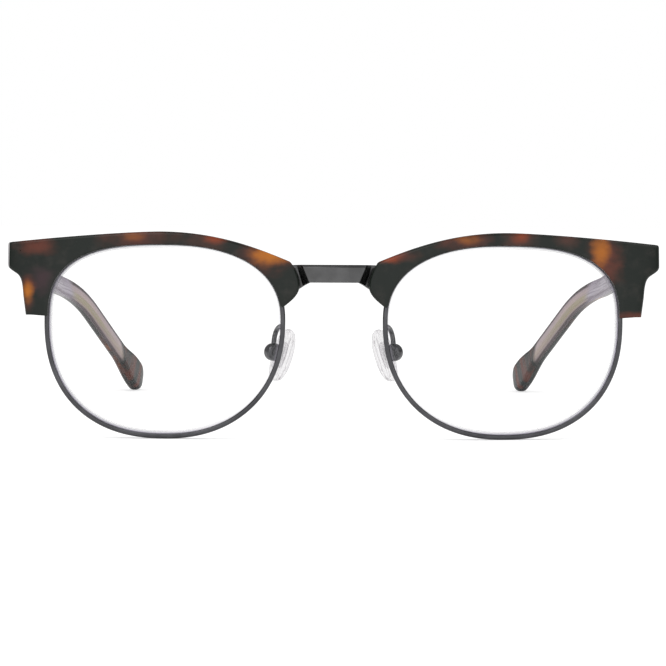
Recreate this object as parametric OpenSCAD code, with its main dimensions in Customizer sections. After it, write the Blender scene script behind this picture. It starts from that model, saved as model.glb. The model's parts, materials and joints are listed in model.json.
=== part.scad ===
// Browline glasses, open and standing on a table.
// Lengths are in millimetres. X runs across the front, Y from the front back to the ear tips, Z up.
// The origin lies on the table, under the middle of the box round the glasses.
// Every side piece is drawn at positive X and mirrored for the other side. Left and right are as seen
// from the front.

/* [Lenses] */
// Width of a lens between its outermost points
lens_w = 51; // [48:0.5:54]
// Height of a lens between its highest and lowest points
lens_h = 41.5; // [39:0.5:44]
// Height of the widest line of a lens over its lowest point
lens_waist_h = 24.8; // [23:0.1:26]
// Distance between the two lenses across the nose
lens_gap = 22; // [19:0.5:25]
// Squareness of the lower corner of a lens on the nose side, where 2 is an ellipse
corner_low = 2.22; // [2:0.02:2.6]
// Squareness of the lower corner of a lens on the temple side
corner_low_temple = 2.32; // [2:0.02:2.6]
// Squareness of the upper corner of a lens on the temple side
corner_temple = 2.75; // [2.3:0.05:3.2]
// Squareness of the upper corner of a lens on the nose side
corner_nose = 2.35; // [2.1:0.05:2.7]
// Radius of the curved sheet that lens, rim and brow follow
curve_r = 150; // [130:5:220]
// Turn of each lens out of the plane of the front, in degrees
face_form = 5; // [2:0.5:7]
// Thickness of a lens
lens_t = 1.8; // [1.4:0.1:1.9]
// Distance of the middle of a lens behind the front of the bridge
lens_set = 2.6; // [2.4:0.1:3]

/* [Rims] */
// Depth of the rim wire from front to back
rim_depth = 2; // [1.9:0.1:2.4]
// Depth of the groove that holds the lens edge
groove_d = 0.5; // [0.3:0.05:0.6]
// Thickness of the metal behind the groove
rim_wall = 0.55; // [0.45:0.05:0.8]
// Width of the groove
groove_w = 0.9; // [0.6:0.1:1.2]
// Height of the middle of the rim lock over the widest line of the lens
lock_h = 5.2; // [4:0.1:7]
// Diameter of the rim lock barrels
lock_d = 2.4; // [2.1:0.1:2.6]
// Height of both rim lock barrels together
lock_len = 5; // [4:0.2:5.4]
// Diameter of the rim lock screw
lock_screw_d = 1.1; // [0.9:0.1:1.3]

/* [Brows] */
// Thickness of a brow from front to back
brow_t = 4.2; // [4:0.1:5]
// Thickness of the brow in front of the rim
brow_lip = 1.2; // [1:0.1:1.5]
// Rim face left in sight under the brow
rim_show = 0.5; // [0.3:0.05:0.8]
// Rise of the highest point of a brow over the lens
brow_rise = 2.45; // [1.7:0.1:3.5]
// Fall of the top edge from its highest point to the end piece
end_fall = 2.5; // [1.5:0.1:3]
// Reach of the end piece beyond the lens
end_reach = 8.8; // [8.6:0.1:11]
// Height of the end piece
end_h = 5.65; // [5.2:0.1:6]
// Width of the lower end of the brow beside the lens
drop_w = 4.6; // [4.2:0.1:5.4]
// Height of the lower end of the brow over the widest line of the lens
drop_h = 1; // [0.4:0.1:1.4]
// Reach of the nose lobe of the brow beyond the lens
lobe_reach = 3.6; // [3.2:0.1:4]
// Height of the lower end of the nose lobe over the widest line of the lens
lobe_h = 2.7; // [2:0.1:3.4]
// Fall of the point of the nose lobe under the highest point of the lens
lobe_fall = 8.9; // [8.6:0.1:9.4]
// Distance of the nose side screw from the middle of the lens
tab_nose_x = 19.3; // [16:0.1:20]
// Distance of the temple side screw from the middle of the lens
tab_temple_x = 18; // [14:0.5:18.5]
// Diameter of the small screws behind the brows
small_screw_d = 1; // [0.8:0.1:1.1]

/* [Bridge] */
// Height of the bridge plate
bridge_h = 3.8; // [3:0.1:4.2]
// Width of the flat front of the bridge
bridge_flat_w = 11.8; // [10:0.2:12.4]
// Thickness of the bridge plate
bridge_t = 1.6; // [1.2:0.1:1.7]
// Fall of the lower edge of the bridge under the highest point of the lens
bridge_fall = 8.3; // [8.1:0.1:9.1]

/* [Nose pads] */
// Height of a nose pad
pad_h = 11.8; // [10.8:0.2:13]
// Width of a nose pad
pad_w = 7.2; // [6.4:0.2:8]
// Thickness of a nose pad
pad_t = 2; // [1.8:0.1:2.6]
// Turn of a pad about the upright, in degrees
pad_splay = 30; // [24:1:36]
// Lean of a pad to the side, in degrees
pad_lean = 18; // [12:1:22]
// Distance of the pad pivot from the middle plane
pad_pivot_x = 13.1; // [12.8:0.1:14]
// Distance of the pad pivot behind the front of the bridge
pad_pivot_y = 9.6; // [9:0.1:11]
// Height of the pad pivot under the widest line of the lens
pad_pivot_drop = 7; // [6:0.1:8]
// Outer diameter of the pad box
pad_box_d = 3.8; // [3.6:0.1:4]
// Distance of the open face of the pad box from the pad screw
pad_box_open = 1.1; // [0.9:0.05:1.3]
// Rock of a pad either way about its screw, in degrees
pad_rock = 12; // [6:1:14]
// Diameter of the pad screw
pad_screw_d = 0.9; // [0.8:0.05:1.1]
// Diameter of the pad arm wire
pad_arm_d = 1.1; // [0.9:0.1:1.2]

/* [Hinges] */
// Fall of the hinge pin middle under the highest point of the lens
hinge_fall = 3.05; // [2.85:0.05:3.25]
// Diameter of the hinge knuckles
knuckle_d = 3; // [2.6:0.1:3]
// Height of the stack of knuckles
knuckle_stack = 4.8; // [4.6:0.1:5]
// Diameter of the hinge screw
hinge_screw_d = 1.4; // [1.2:0.1:1.6]
// Thickness of the hinge leaves
leaf_t = 0.8; // [0.6:0.05:0.9]
// Length of the hinge leaf along the temple
leaf_len = 11; // [9:0.5:14]
// Distance of the hinge pin behind the front of the bridge
hinge_y = 14.5; // [14.3:0.1:16]

/* [Temples] */
// Length of the straight shaft from the hinge pin to the ear bend
shaft_len = 76; // [66:1:86]
// Radius of the ear bend
ear_bend_r = 65; // [45:5:90]
// Angle of the ear bend, in degrees
ear_bend = 21.5; // [16:0.5:28]
// Length from the ear bend to the middle of the round end
tip_len = 39; // [32:1:44]
// Height of the temple at the hinge
temple_h = 5.8; // [5.6:0.1:6.2]
// Height of the slim stretch of the shaft
shaft_h = 4.6; // [4.2:0.1:5.4]
// Height of the round end
tip_h = 8; // [7:0.2:9.4]
// Thickness of the tortoise outer layer
outer_t = 1.8; // [1.6:0.1:2.4]
// Step from the side of the end piece in to the outer face of the temple
temple_inset = 0.2; // [0.1:0.1:0.6]
// Thickness of the clear inner layer
lining_t = 1.5; // [1.4:0.05:1.8]
// Inward lean of the shaft, in degrees
shaft_lean = 1; // [0.5:0.5:2]
// Inward lean of the tip, in degrees
tip_lean = 14; // [8:0.5:16]
// Width of the core wire
core_w = 2; // [1.4:0.1:2.6]
// Thickness of the core wire
core_t = 0.6; // [0.4:0.05:0.65]

/* [Fits] */
// Clearance between pieces that stay together
fit = 0.05; // [0.04:0.01:0.08]
// Radial clearance of a turning pin
pin_fit = 0.03; // [0.02:0.01:0.06]

/* [Hidden] */
$fn = 48;
// Facets of the large curve, fine enough to be round
curve_fn = 240;

// Lens places
lens_cx = (lens_gap + lens_w) / 2;
lens_in_x = lens_gap / 2;
lens_out_x = lens_in_x + lens_w;
waist_z = rim_wall + lens_waist_h;
lens_top_z = rim_wall + lens_h;
hinge_z = lens_top_z - hinge_fall;
// Middle of the ball whose surface is the middle sheet of the lens
curve_c = [lens_cx - curve_r * sin(face_form), lens_set + curve_r * cos(face_form), rim_wall + lens_h / 2];

// Depth of the ball's surface of radius r at front view place p
function sheet_y(r, p) = curve_c.y - sqrt(r^2 - (p.x - curve_c.x)^2 - (p.y - curve_c.z)^2);

// Radii of the sheets, counted from the middle of that ball
rim_front_r = curve_r + rim_depth / 2;
rim_back_r = curve_r - rim_depth / 2;
lip_r = rim_front_r + fit;
brow_front_r = lip_r + brow_lip;
brow_back_r = brow_front_r - brow_t;

// Small screws and the tabs that they hold
small_head_d = small_screw_d + 0.8;
small_head_t = 0.45;
tab_bite = 2.3;
hole_spare = 0.3;
tab_t = 0.9;
tab_w = small_screw_d + 1.1;
tab_foot = 4;
tab_heel = 1.6;
// Height of the two tab screws over the lens edge
tab_up_nose = 1.95;
tab_up_temple = 2.3;

// End piece and hinge places
end_x = lens_out_x + end_reach;
temple_t = outer_t + lining_t;
pin_stand = knuckle_d / 2 + 0.1;
hinge_x = end_x - temple_inset - temple_t - pin_stand;
knuckle_gap = 0.05;
knuckle_h = (knuckle_stack - 4 * knuckle_gap) / 5;
leaf_reach = 5.4;
// The front leaf stops short of the inner face of the temple
leaf_stop = pin_stand - 0.2;
leaf_screw_x = -3.4;
leaf_screw_z = 1.3;
leaf_screw_len = 3.8;
end_block_x = -leaf_reach - 0.6;
hinge_head_d = hinge_screw_d + 1;
hinge_head_t = 0.6;
// Length of a cutting shape that passes everything
far = 80;

// Points of a lens edge about its middle, a rounded box with its own squareness in each quarter
lens_steps = 96;
function squareness(a) = a < 90 ? corner_temple : a < 180 ? corner_nose
    : a < 270 ? corner_low : corner_low_temple;
function half_height(a) = a < 180 ? lens_h - lens_waist_h : lens_waist_h;
function edge_reach(a, n, b) = pow(pow(abs(cos(a)) / (lens_w / 2), n) + pow(abs(sin(a)) / b, n), -1 / n);
function edge_point(a) = [lens_cx, waist_z]
    + edge_reach(a, squareness(a), half_height(a)) * [cos(a), sin(a)];
lens_edge = [for (i = [0:lens_steps - 1]) edge_point(360 * i / lens_steps)];
function unit(v) = v / norm(v);
function outward(pts, i) = let (n = len(pts), d = unit(pts[(i + 1) % n] - pts[(i + n - 1) % n])) [d.y, -d.x];
function grown(pts, d) = [for (i = [0:len(pts) - 1]) pts[i] + d * outward(pts, i)];
// Height of the upper lens edge at a distance from the middle of the lens
function edge_top_z(dx) = let (n = dx > 0 ? corner_temple : corner_nose)
    waist_z + (lens_h - lens_waist_h) * pow(1 - pow(abs(dx) / (lens_w / 2), n), 1 / n);

// Outline of a brow, from the foot of the nose lobe over the top to the lower end beside the lens
function bezier(a, b, c, d, n) = [for (i = [0:n - 1]) let (t = i / n, u = 1 - t)
    u^3 * a + 3 * u * u * t * b + 3 * u * t * t * c + t^3 * d];
lobe_foot = [lens_in_x - 0.1, waist_z + lobe_h];
lobe_tip = [lens_in_x - lobe_reach, lens_top_z - lobe_fall];
shoulder = [lobe_tip.x + 2.2, lobe_tip.y + 5];
peak = [lens_cx + 1, lens_top_z + brow_rise];
end_top_z = peak.y - end_fall;
end_low_z = end_top_z - end_h;
end_round = 0.5;
drop_foot = [lens_out_x + drop_w, waist_z + drop_h];
lip_turn = [end_x - 2.2, end_low_z - 1.2];
drop_neck = [drop_foot.x + 0.6, drop_foot.y + 4.2];
brow_outline = concat(
    bezier(lobe_foot, lobe_foot + [-1.6, 1.6], lobe_tip - [0, 1.9], lobe_tip, 6),
    bezier(lobe_tip, lobe_tip + [0, 1.8], shoulder - [1.2, 1], shoulder, 6),
    bezier(shoulder, shoulder + [7.8, 3.3], peak - [11.5, 0], peak, 12),
    bezier(peak, peak + [7, -0.05], [end_x - 11, end_top_z + 1.2], [end_x - end_round, end_top_z], 10),
    [[end_x - end_round, end_top_z], [end_x, end_top_z - end_round]],
    bezier([end_x, end_low_z + 0.9], [end_x, end_low_z], lip_turn + [1, 0.7], lip_turn, 6),
    bezier(lip_turn, lip_turn - [1, 0.7], drop_neck + [0.2, 2.4], drop_neck, 6),
    [drop_neck, drop_foot, [lens_cx, drop_foot.y], [lens_cx, lobe_foot.y]]);

// Outline of the bridge from the front, right half from the top middle round to the lower middle
bridge_low_z = lens_top_z - bridge_fall;
bridge_top_z = bridge_low_z + bridge_h;
bridge_flat = bridge_flat_w / 2;
bridge_sweep = 1.2;
bridge_half = concat(
    [[0, bridge_top_z], [bridge_flat, bridge_top_z - 0.1], [lens_in_x + 1, bridge_top_z - 0.6],
        [lens_in_x + 1, bridge_low_z - 3]],
    bezier([lens_in_x - 1.7, bridge_low_z - 3], [lens_in_x - 2.4, bridge_low_z - 2],
        [lens_in_x - 3.6, bridge_low_z], [bridge_flat - 1.2, bridge_low_z], 6),
    [[0, bridge_low_z]]);
// The same half from above: a flat plate, a steep sweep back and an arm that lies behind the brow lip
arm_front_y = sheet_y(rim_front_r, lobe_tip) + 0.1;
bridge_plan = [[0, 0], [bridge_flat, 0], [bridge_flat + bridge_sweep, arm_front_y],
    [lens_in_x + 1.5, arm_front_y + 0.4], [lens_in_x + 1.5, arm_front_y + bridge_t],
    [bridge_flat + bridge_sweep - 0.4, arm_front_y + bridge_t], [bridge_flat - 0.5, bridge_t], [0, bridge_t]];

// Temple centre line in the hinge frame: distance along the shaft, height, and angle under the shaft
arc_len = ear_bend_r * ear_bend * PI / 180;
temple_len = shaft_len + arc_len + tip_len;
function bend_angle(s) = min(ear_bend, max(0, s - shaft_len) / ear_bend_r * 180 / PI);
function on_arc(a) = [shaft_len + ear_bend_r * sin(a), -ear_bend_r * (1 - cos(a))];
function centre(s) = s <= shaft_len ? [s, 0]
    : on_arc(bend_angle(s)) + max(0, s - shaft_len - arc_len) * [cos(ear_bend), -sin(ear_bend)];
function eased(t) = let (u = min(1, max(0, t))) u * u * (3 - 2 * u);
hinge_taper = 40;
tip_swell = 16;
function height(s) = shaft_h + (temple_h - shaft_h) * eased(1 - s / hinge_taper)
    + (tip_h - shaft_h) * eased((s - temple_len + tip_swell) / (tip_swell - 2));
function rim_point(s, k) = centre(s) + k * height(s) / 2 * [sin(bend_angle(s)), cos(bend_angle(s))];
butt = -pin_stand + fit;
stations = concat([butt], [for (i = [1:5]) i * hinge_taper / 5], [shaft_len],
    [for (i = [1:6]) shaft_len + i * arc_len / 6], [for (i = [0:6]) temple_len - tip_swell + i * tip_swell / 6]);
tip_round = [for (a = [75:-15:-75]) centre(temple_len)
    + tip_h / 2 * [cos(a - ear_bend), sin(a - ear_bend)]];
temple_side = concat([for (s = stations) rim_point(s, 1)], tip_round,
    [for (i = [len(stations) - 1:-1:0]) rim_point(stations[i], -1)]);

// Slope of the shaft at which the round end rests on the table
tip_hub = centre(temple_len);
slope = asin((hinge_z - tip_h / 2) / norm(tip_hub)) + atan2(tip_hub.y, tip_hub.x);
overall_len = hinge_y + tip_hub.x * cos(slope) + tip_hub.y * sin(slope) + tip_h / 2;

// Inner face of the temple in the hinge frame, seen from above
lean_blend = 20;
function past(y) = max(0, y - shaft_len + lean_blend / 2);
function eased_past(y) = past(y) < lean_blend ? past(y)^2 / (2 * lean_blend) : past(y) - lean_blend / 2;
function inner_x(y) = pin_stand - tan(shaft_lean) * max(0, y - leaf_len)
    - (tan(tip_lean) - tan(shaft_lean)) * eased_past(y);
plan_stations = concat([2 * butt, leaf_len],
    [for (i = [0:6]) shaft_len - lean_blend / 2 + i * lean_blend / 6], [tip_hub.x + tip_h]);
function layer(x0, x1) = concat([for (y = plan_stations) [inner_x(y) + x0, y]],
    [for (i = [len(plan_stations) - 1:-1:0]) [inner_x(plan_stations[i]) + x1, plan_stations[i]]]);

// Core wire, a strip along the centre line
core_start = 3;
core_end = temple_len - 10;
core_stations = concat([core_start, shaft_len], [for (i = [1:6]) shaft_len + i * arc_len / 6], [core_end]);
function core_point(s, k) = centre(s) + k * core_w / 2 * [sin(bend_angle(s)), cos(bend_angle(s))];
core_side = concat([for (s = core_stations) core_point(s, 1)],
    [for (i = [len(core_stations) - 1:-1:0]) core_point(core_stations[i], -1)]);

// Nose pad places
pad_pivot = [pad_pivot_x, pad_pivot_y, waist_z - pad_pivot_drop];
pad_box_w = 2.5;
box_slot_w = 1.5;
eye_w = box_slot_w - 0.3;
eye_d = 2.4;
slot_d = eye_d + 0.3;
// Distance from the pad pivot to the back face of the pad, which clears the box as the pad rocks
pad_box_mouth = sqrt(pad_box_d^2 / 4 - pad_box_open^2);
pad_back = pad_box_open * cos(pad_rock) + pad_box_mouth * sin(pad_rock) + 0.15;
insert_t = 0.8;
insert_h = pad_h * 0.5;
insert_w = pad_w * 0.5;
stem_h = 1.6;
pad_arm_start = [lens_in_x, waist_z - 1.2];
pad_arm_tilt = 15;
pad_head_t = 0.5;
driver_slot = 0.3;
// Directions in the pad frame turned into the frame of the front
function leaned(v) = [v.x * cos(pad_lean) - v.z * sin(pad_lean), v.y,
    v.x * sin(pad_lean) + v.z * cos(pad_lean)];
function splayed(v) = [v.x * cos(pad_splay) + v.y * sin(pad_splay),
    v.y * cos(pad_splay) - v.x * sin(pad_splay), v.z];

// Colours as photographed
tortoise = [0.20, 0.17, 0.15];
gunmetal = [0.32, 0.33, 0.34];
clear_lens = [0.85, 0.90, 0.93, 0.4];
clear_pad = [0.90, 0.88, 0.90, 0.6];
mauve = [0.65, 0.60, 0.65, 0.8];
gold = [0.72, 0.64, 0.50];

// Placing and cutting aids

module on_side(side) translate([0, -overall_len / 2, 0]) {
    if (side > 0) children();
    else mirror([1, 0, 0]) children();
}

// The space of everything inside radius r of the curve
module ball(r) translate(curve_c) sphere(r = r, $fn = curve_fn);

// A front view outline drawn out from front to back
module slab(pts, y0 = -2, y1 = 22) translate([0, y1, 0]) rotate([90, 0, 0])
    linear_extrude(y1 - y0) polygon(pts);

module sheet(pts, r_in, r_out) difference() {
    intersection() {
        slab(pts);
        ball(r_out);
    }
    ball(r_in);
}

function box_points(x0, x1, z0, z1) = [[x0, z0], [x1, z0], [x1, z1], [x0, z1]];

// Children stand along the outward normal of the curve at front view place p, at the ball's middle
module on_normal(p) {
    dx = p.x - curve_c.x;
    dz = p.y - curve_c.z;
    dy = -sqrt(curve_r^2 - dx^2 - dz^2);
    translate(curve_c) rotate([0, acos(dz / curve_r), atan2(dy, dx)]) children();
}

module at_hinge() translate([hinge_x, hinge_y, hinge_z]) rotate([-slope, 0, 0]) children();

module at_pad() translate(pad_pivot) rotate([0, -pad_lean, -pad_splay]) children();

// A round bar along Y, centred
module cross_bar(d, w) rotate([90, 0, 0]) cylinder(d = d, h = w, center = true);

module rod(a, b, d) translate(a)
    rotate([0, acos((b - a).z / norm(b - a)), atan2((b - a).y, (b - a).x)]) cylinder(d = d, h = norm(b - a));

// Front pieces

tab_places = [for (dx = [-tab_nose_x, tab_temple_x])
    [lens_cx + dx, edge_top_z(dx) + (dx < 0 ? tab_up_nose : tab_up_temple)]];
lock_x = lens_out_x + rim_wall + lock_d / 2 + 0.1;
lock_z = waist_z + lock_h;
lock_y = sheet_y(curve_r - 0.4, [lock_x, lock_z]);
lock_low_z = lock_z - lock_len / 2;
lock_top_z = lock_z + lock_len / 2;
lock_head_t = 0.5;
lock_room = 0.2;
// The rim is split between the two halves of the lock
rim_split = 0.3;
lock_split = 0.1;

module lens() color(clear_lens) {
    sheet(grown(lens_edge, -groove_d - fit), curve_r - lens_t / 2, curve_r + lens_t / 2);
    sheet(lens_edge, curve_r - groove_w / 2 + fit, curve_r + groove_w / 2 - fit);
}

module eyewire() color(gunmetal) difference() {
    sheet(grown(lens_edge, rim_wall), rim_back_r, rim_front_r);
    slab(grown(lens_edge, -groove_d));
    sheet(grown(lens_edge, fit / 2), curve_r - groove_w / 2, curve_r + groove_w / 2);
    slab(box_points(lens_out_x - 3, lens_out_x + 3, lock_z - rim_split / 2, lock_z + rim_split / 2));
}

// One half of the rim lock, from height z0 to z1, seated on the outer face of the rim
module lock_half(z0, z1) difference() {
    union() {
        sheet(box_points(lens_out_x - 1, lock_x, z0, z1), rim_back_r + fit, rim_front_r - fit);
        translate([lock_x, lock_y, z0]) cylinder(d = lock_d, h = z1 - z0);
    }
    slab(grown(lens_edge, rim_wall));
    translate([lock_x, lock_y, z0 - 1]) cylinder(d = lock_screw_d + 2 * pin_fit, h = z1 - z0 + 2);
}

module rim_lock() color(gunmetal) {
    lock_half(lock_z + lock_split / 2, lock_top_z);
    lock_half(lock_low_z, lock_z - lock_split / 2);
}

module rim_screw() color(gunmetal) translate([lock_x, lock_y, lock_low_z]) {
    cylinder(d = lock_screw_d, h = lock_len - lock_room);
    translate([0, 0, -lock_head_t]) cylinder(d = lock_screw_d + 0.8, h = lock_head_t);
}

// The block behind the end piece that the temple butts against
module end_block() intersection() {
    slab(brow_outline);
    slab(box_points(hinge_x + end_block_x, end_x + 1, end_low_z + 0.1, peak.y));
    at_hinge() translate([-far, -pin_stand - far, -far]) cube([2 * far, far, 2 * far]);
    ball(brow_back_r + 1);
}

// Everything that the back of a brow makes room for
module brow_pockets() {
    intersection() {
        union() {
            slab(grown(lens_edge, rim_wall + fit));
            slab(box_points(lens_out_x - 2, lock_x + lock_d / 2 + lock_room,
                lock_low_z - lock_head_t - lock_room, lock_top_z + lock_room));
            slab([for (p = bridge_half) p + [0, p.y > bridge_low_z ? fit : -fit]]);
        }
        ball(lip_r);
    }
    slab(grown(lens_edge, rim_show - groove_d));
    for (p = tab_places) on_normal(p) translate([0, 0, brow_back_r - tab_t])
        cylinder(d = small_screw_d + 2 * pin_fit, h = tab_t + tab_bite + hole_spare);
    at_hinge() {
        translate([-leaf_reach - fit, -pin_stand - leaf_t - fit, -knuckle_stack / 2 - fit])
            cube([leaf_reach + leaf_stop + 2 * fit, far, knuckle_stack + 2 * fit]);
        for (z = [-1, 1]) translate([leaf_screw_x, -pin_stand - leaf_screw_len / 2, z * leaf_screw_z])
            cross_bar(small_screw_d + 2 * pin_fit, leaf_screw_len + 2 * hole_spare);
    }
}

module brow() color(tortoise) difference() {
    union() {
        sheet(brow_outline, brow_back_r, brow_front_r);
        end_block();
    }
    brow_pockets();
    at_hinge() translate([-far, -pin_stand, -far]) cube([2 * far, far, 2 * far]);
}

module brow_tabs() color(gunmetal) for (p = tab_places) difference() {
    union() {
        intersection() {
            sheet(box_points(p.x - tab_w / 2, p.x + tab_w / 2, p.y - tab_foot, p.y),
                brow_back_r - fit - tab_t, rim_back_r);
            slab(grown(lens_edge, rim_wall));
        }
        sheet(box_points(p.x - tab_w / 2, p.x + tab_w / 2, p.y - tab_heel, p.y + tab_w / 2),
            brow_back_r - fit - tab_t, brow_back_r - fit);
    }
    slab(grown(lens_edge, -groove_d));
    on_normal(p) translate([0, 0, brow_back_r - 2 * tab_t])
        cylinder(d = small_screw_d + 2 * pin_fit, h = 3 * tab_t);
}

module brow_screws() color(gunmetal) for (p = tab_places) on_normal(p) {
    head_r = brow_back_r - tab_t - 2 * fit;
    translate([0, 0, head_r - small_head_t]) cylinder(d = small_head_d, h = small_head_t);
    translate([0, 0, head_r]) cylinder(d = small_screw_d, h = tab_t + tab_bite);
}

module bridge() color(gunmetal) translate([0, -overall_len / 2, 0]) difference() {
    for (side = [0, 1]) mirror([side, 0, 0]) intersection() {
        slab(bridge_half);
        translate([0, 0, bridge_low_z - 5]) linear_extrude(bridge_h + 8) polygon(bridge_plan);
    }
    for (side = [0, 1]) mirror([side, 0, 0]) slab(grown(lens_edge, rim_wall));
}

// Hinges

function knuckle_z(i) = -knuckle_stack / 2 + i * (knuckle_h + knuckle_gap);
// Front end of the temple leaf
leaf_y = -knuckle_d / 2 + 0.3;

module front_hinge() color(gunmetal) at_hinge() difference() {
    union() {
        translate([-leaf_reach, -pin_stand - leaf_t, -knuckle_stack / 2])
            cube([leaf_reach + leaf_stop, leaf_t, knuckle_stack]);
        for (i = [0, 2, 4]) translate([0, 0, knuckle_z(i)]) {
            cylinder(d = knuckle_d, h = knuckle_h);
            translate([-knuckle_d / 2 + 0.3, -pin_stand - leaf_t / 2, 0])
                cube([knuckle_d - 0.6, pin_stand + leaf_t / 2, knuckle_h]);
        }
    }
    translate([0, 0, -knuckle_stack]) cylinder(d = hinge_screw_d + 2 * pin_fit, h = 2 * knuckle_stack);
    for (z = [-1, 1]) translate([leaf_screw_x, -pin_stand, z * leaf_screw_z])
        cross_bar(small_screw_d + 2 * pin_fit, 4 * leaf_t);
}

module leaf_screws() color(gunmetal) at_hinge() for (z = [-1, 1])
    translate([leaf_screw_x, -pin_stand, z * leaf_screw_z]) {
        translate([0, small_head_t / 2, 0]) cross_bar(small_head_d, small_head_t);
        translate([0, -leaf_screw_len / 2, 0]) cross_bar(small_screw_d, leaf_screw_len);
    }

module hinge_screw() color(gunmetal) at_hinge() {
    translate([0, 0, -knuckle_stack / 2]) cylinder(d = hinge_screw_d, h = knuckle_stack);
    translate([0, 0, knuckle_stack / 2]) cylinder(d = hinge_head_d, h = hinge_head_t);
}

module temple_hinge() color(gunmetal) at_hinge() difference() {
    union() {
        translate([pin_stand, leaf_y, -knuckle_stack / 2]) cube([leaf_t, leaf_len, knuckle_stack]);
        for (i = [1, 3]) translate([0, 0, knuckle_z(i)]) {
            cylinder(d = knuckle_d, h = knuckle_h);
            translate([0, leaf_y, 0]) cube([pin_stand + leaf_t / 2, -2 * leaf_y, knuckle_h]);
        }
    }
    translate([0, 0, -knuckle_stack]) cylinder(d = hinge_screw_d + 2 * pin_fit, h = 2 * knuckle_stack);
}

// Temples

// The side view of a temple between two depths x0 and x1 of its thickness
module temple_layer(side_pts, x0, x1) intersection() {
    translate([-far / 2, 0, 0]) rotate([90, 0, 90]) linear_extrude(far) polygon(side_pts);
    translate([0, 0, -far / 2]) linear_extrude(far) polygon(layer(x0, x1));
}

module temple() color(tortoise) at_hinge() temple_layer(temple_side, lining_t, temple_t);

module core_wire() color(gold) at_hinge() temple_layer(core_side, lining_t - core_t, lining_t);

module lining() color(mauve) at_hinge() difference() {
    temple_layer(temple_side, 0, lining_t);
    temple_layer(core_side, lining_t - core_t, lining_t + 1);
    translate([0, leaf_y - leaf_len, -knuckle_stack / 2 - fit])
        cube([pin_stand + leaf_t + fit, 2 * leaf_len + fit, knuckle_stack + 2 * fit]);
}

// Nose pads

// Power that fills out the ovals, where 1 is an ellipse
oval_power = 0.85;
function bulged(v) = sign(v) * pow(abs(v), oval_power);
function oval(w, h, n) = [for (i = [0:n - 1]) let (a = 360 * i / n)
    [w / 2 * bulged(cos(a)), h / 2 * bulged(sin(a))]];

// An oval plate of thickness t, its outer face at distance x from the pivot towards the nose
module plate(x, t, w, h) translate([-x - t, 0, 0]) rotate([90, 0, 90])
    linear_extrude(t) polygon(oval(w, h, 40));

module nose_pad() color(clear_pad) at_pad() difference() {
    plate(pad_back, pad_t, pad_w, pad_h);
    plate(pad_back - 1, insert_t + 1 + fit, insert_w + 2 * fit, insert_h + 2 * fit);
}

module pad_insert() color(clear_pad) at_pad() difference() {
    union() {
        plate(pad_back, insert_t, insert_w, insert_h);
        translate([-pad_back - insert_t / 2, -eye_w / 2, -stem_h / 2])
            cube([pad_back + insert_t / 2, eye_w, stem_h]);
        cross_bar(eye_d, eye_w);
    }
    cross_bar(pad_screw_d + 2 * pin_fit, 2 * eye_w);
}

module pad_box() color(gunmetal) at_pad() difference() {
    cross_bar(pad_box_d, pad_box_w);
    cross_bar(slot_d, box_slot_w);
    translate([-pad_box_d, -box_slot_w / 2, -slot_d / 2]) cube([pad_box_d, box_slot_w, slot_d]);
    translate([-pad_box_open - pad_box_d, -pad_box_w, -pad_box_d])
        cube([pad_box_d, 2 * pad_box_w, 2 * pad_box_d]);
    cross_bar(pad_screw_d + 2 * pin_fit, 2 * pad_box_w);
}

module pad_screw() color(gunmetal) at_pad() difference() {
    union() {
        cross_bar(pad_screw_d, pad_box_w);
        translate([0, -(pad_box_w + pad_head_t) / 2, 0]) cross_bar(pad_screw_d + 1.1, pad_head_t);
    }
    translate([-pad_box_d / 2, -pad_box_w / 2 - 1.5 * pad_head_t, -driver_slot / 2])
        cube([pad_box_d, pad_head_t, driver_slot]);
}

// The wire from the back of the rim, back and down to the top of the pad box
module pad_arm() color(gunmetal) {
    root = [pad_arm_start.x, sheet_y(rim_back_r, pad_arm_start) + fit, pad_arm_start.y];
    seat = pad_box_d / 2 + fit;
    rise = splayed(leaned([sin(pad_arm_tilt), 0, cos(pad_arm_tilt)]));
    path = [root, [root.x + 0.5, pad_pivot.y - 1, root.z], pad_pivot + (seat + 2.2) * rise,
        pad_pivot + seat * rise];
    for (i = [0:2]) rod(path[i], path[i + 1], pad_arm_d);
    for (i = [1, 2]) translate(path[i]) sphere(d = pad_arm_d + 0.06);
}

on_side(-1) brow();  // brow_left
on_side(1) brow();  // brow_right
on_side(-1) eyewire();  // eyewire_left
on_side(1) eyewire();  // eyewire_right
on_side(-1) rim_lock();  // rim_lock_left
on_side(1) rim_lock();  // rim_lock_right
on_side(-1) rim_screw();  // rim_screw_left
on_side(1) rim_screw();  // rim_screw_right
on_side(-1) lens();  // lens_left
on_side(1) lens();  // lens_right
bridge();
on_side(-1) pad_arm();  // pad_arm_left
on_side(1) pad_arm();  // pad_arm_right
on_side(-1) pad_box();  // pad_box_left
on_side(1) pad_box();  // pad_box_right
on_side(-1) pad_screw();  // pad_screw_left
on_side(1) pad_screw();  // pad_screw_right
on_side(-1) pad_insert();  // pad_insert_left
on_side(1) pad_insert();  // pad_insert_right
on_side(-1) nose_pad();  // nose_pad_left
on_side(1) nose_pad();  // nose_pad_right
on_side(-1) brow_tabs();  // brow_tabs_left
on_side(1) brow_tabs();  // brow_tabs_right
on_side(-1) brow_screws();  // brow_screws_left
on_side(1) brow_screws();  // brow_screws_right
on_side(-1) front_hinge();  // front_hinge_left
on_side(1) front_hinge();  // front_hinge_right
on_side(-1) leaf_screws();  // leaf_screws_left
on_side(1) leaf_screws();  // leaf_screws_right
on_side(-1) hinge_screw();  // hinge_screw_left
on_side(1) hinge_screw();  // hinge_screw_right
on_side(-1) temple();  // temple_left
on_side(1) temple();  // temple_right
on_side(-1) lining();  // lining_left
on_side(1) lining();  // lining_right
on_side(-1) core_wire();  // core_wire_left
on_side(1) core_wire();  // core_wire_right
on_side(-1) temple_hinge();  // temple_hinge_left
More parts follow.
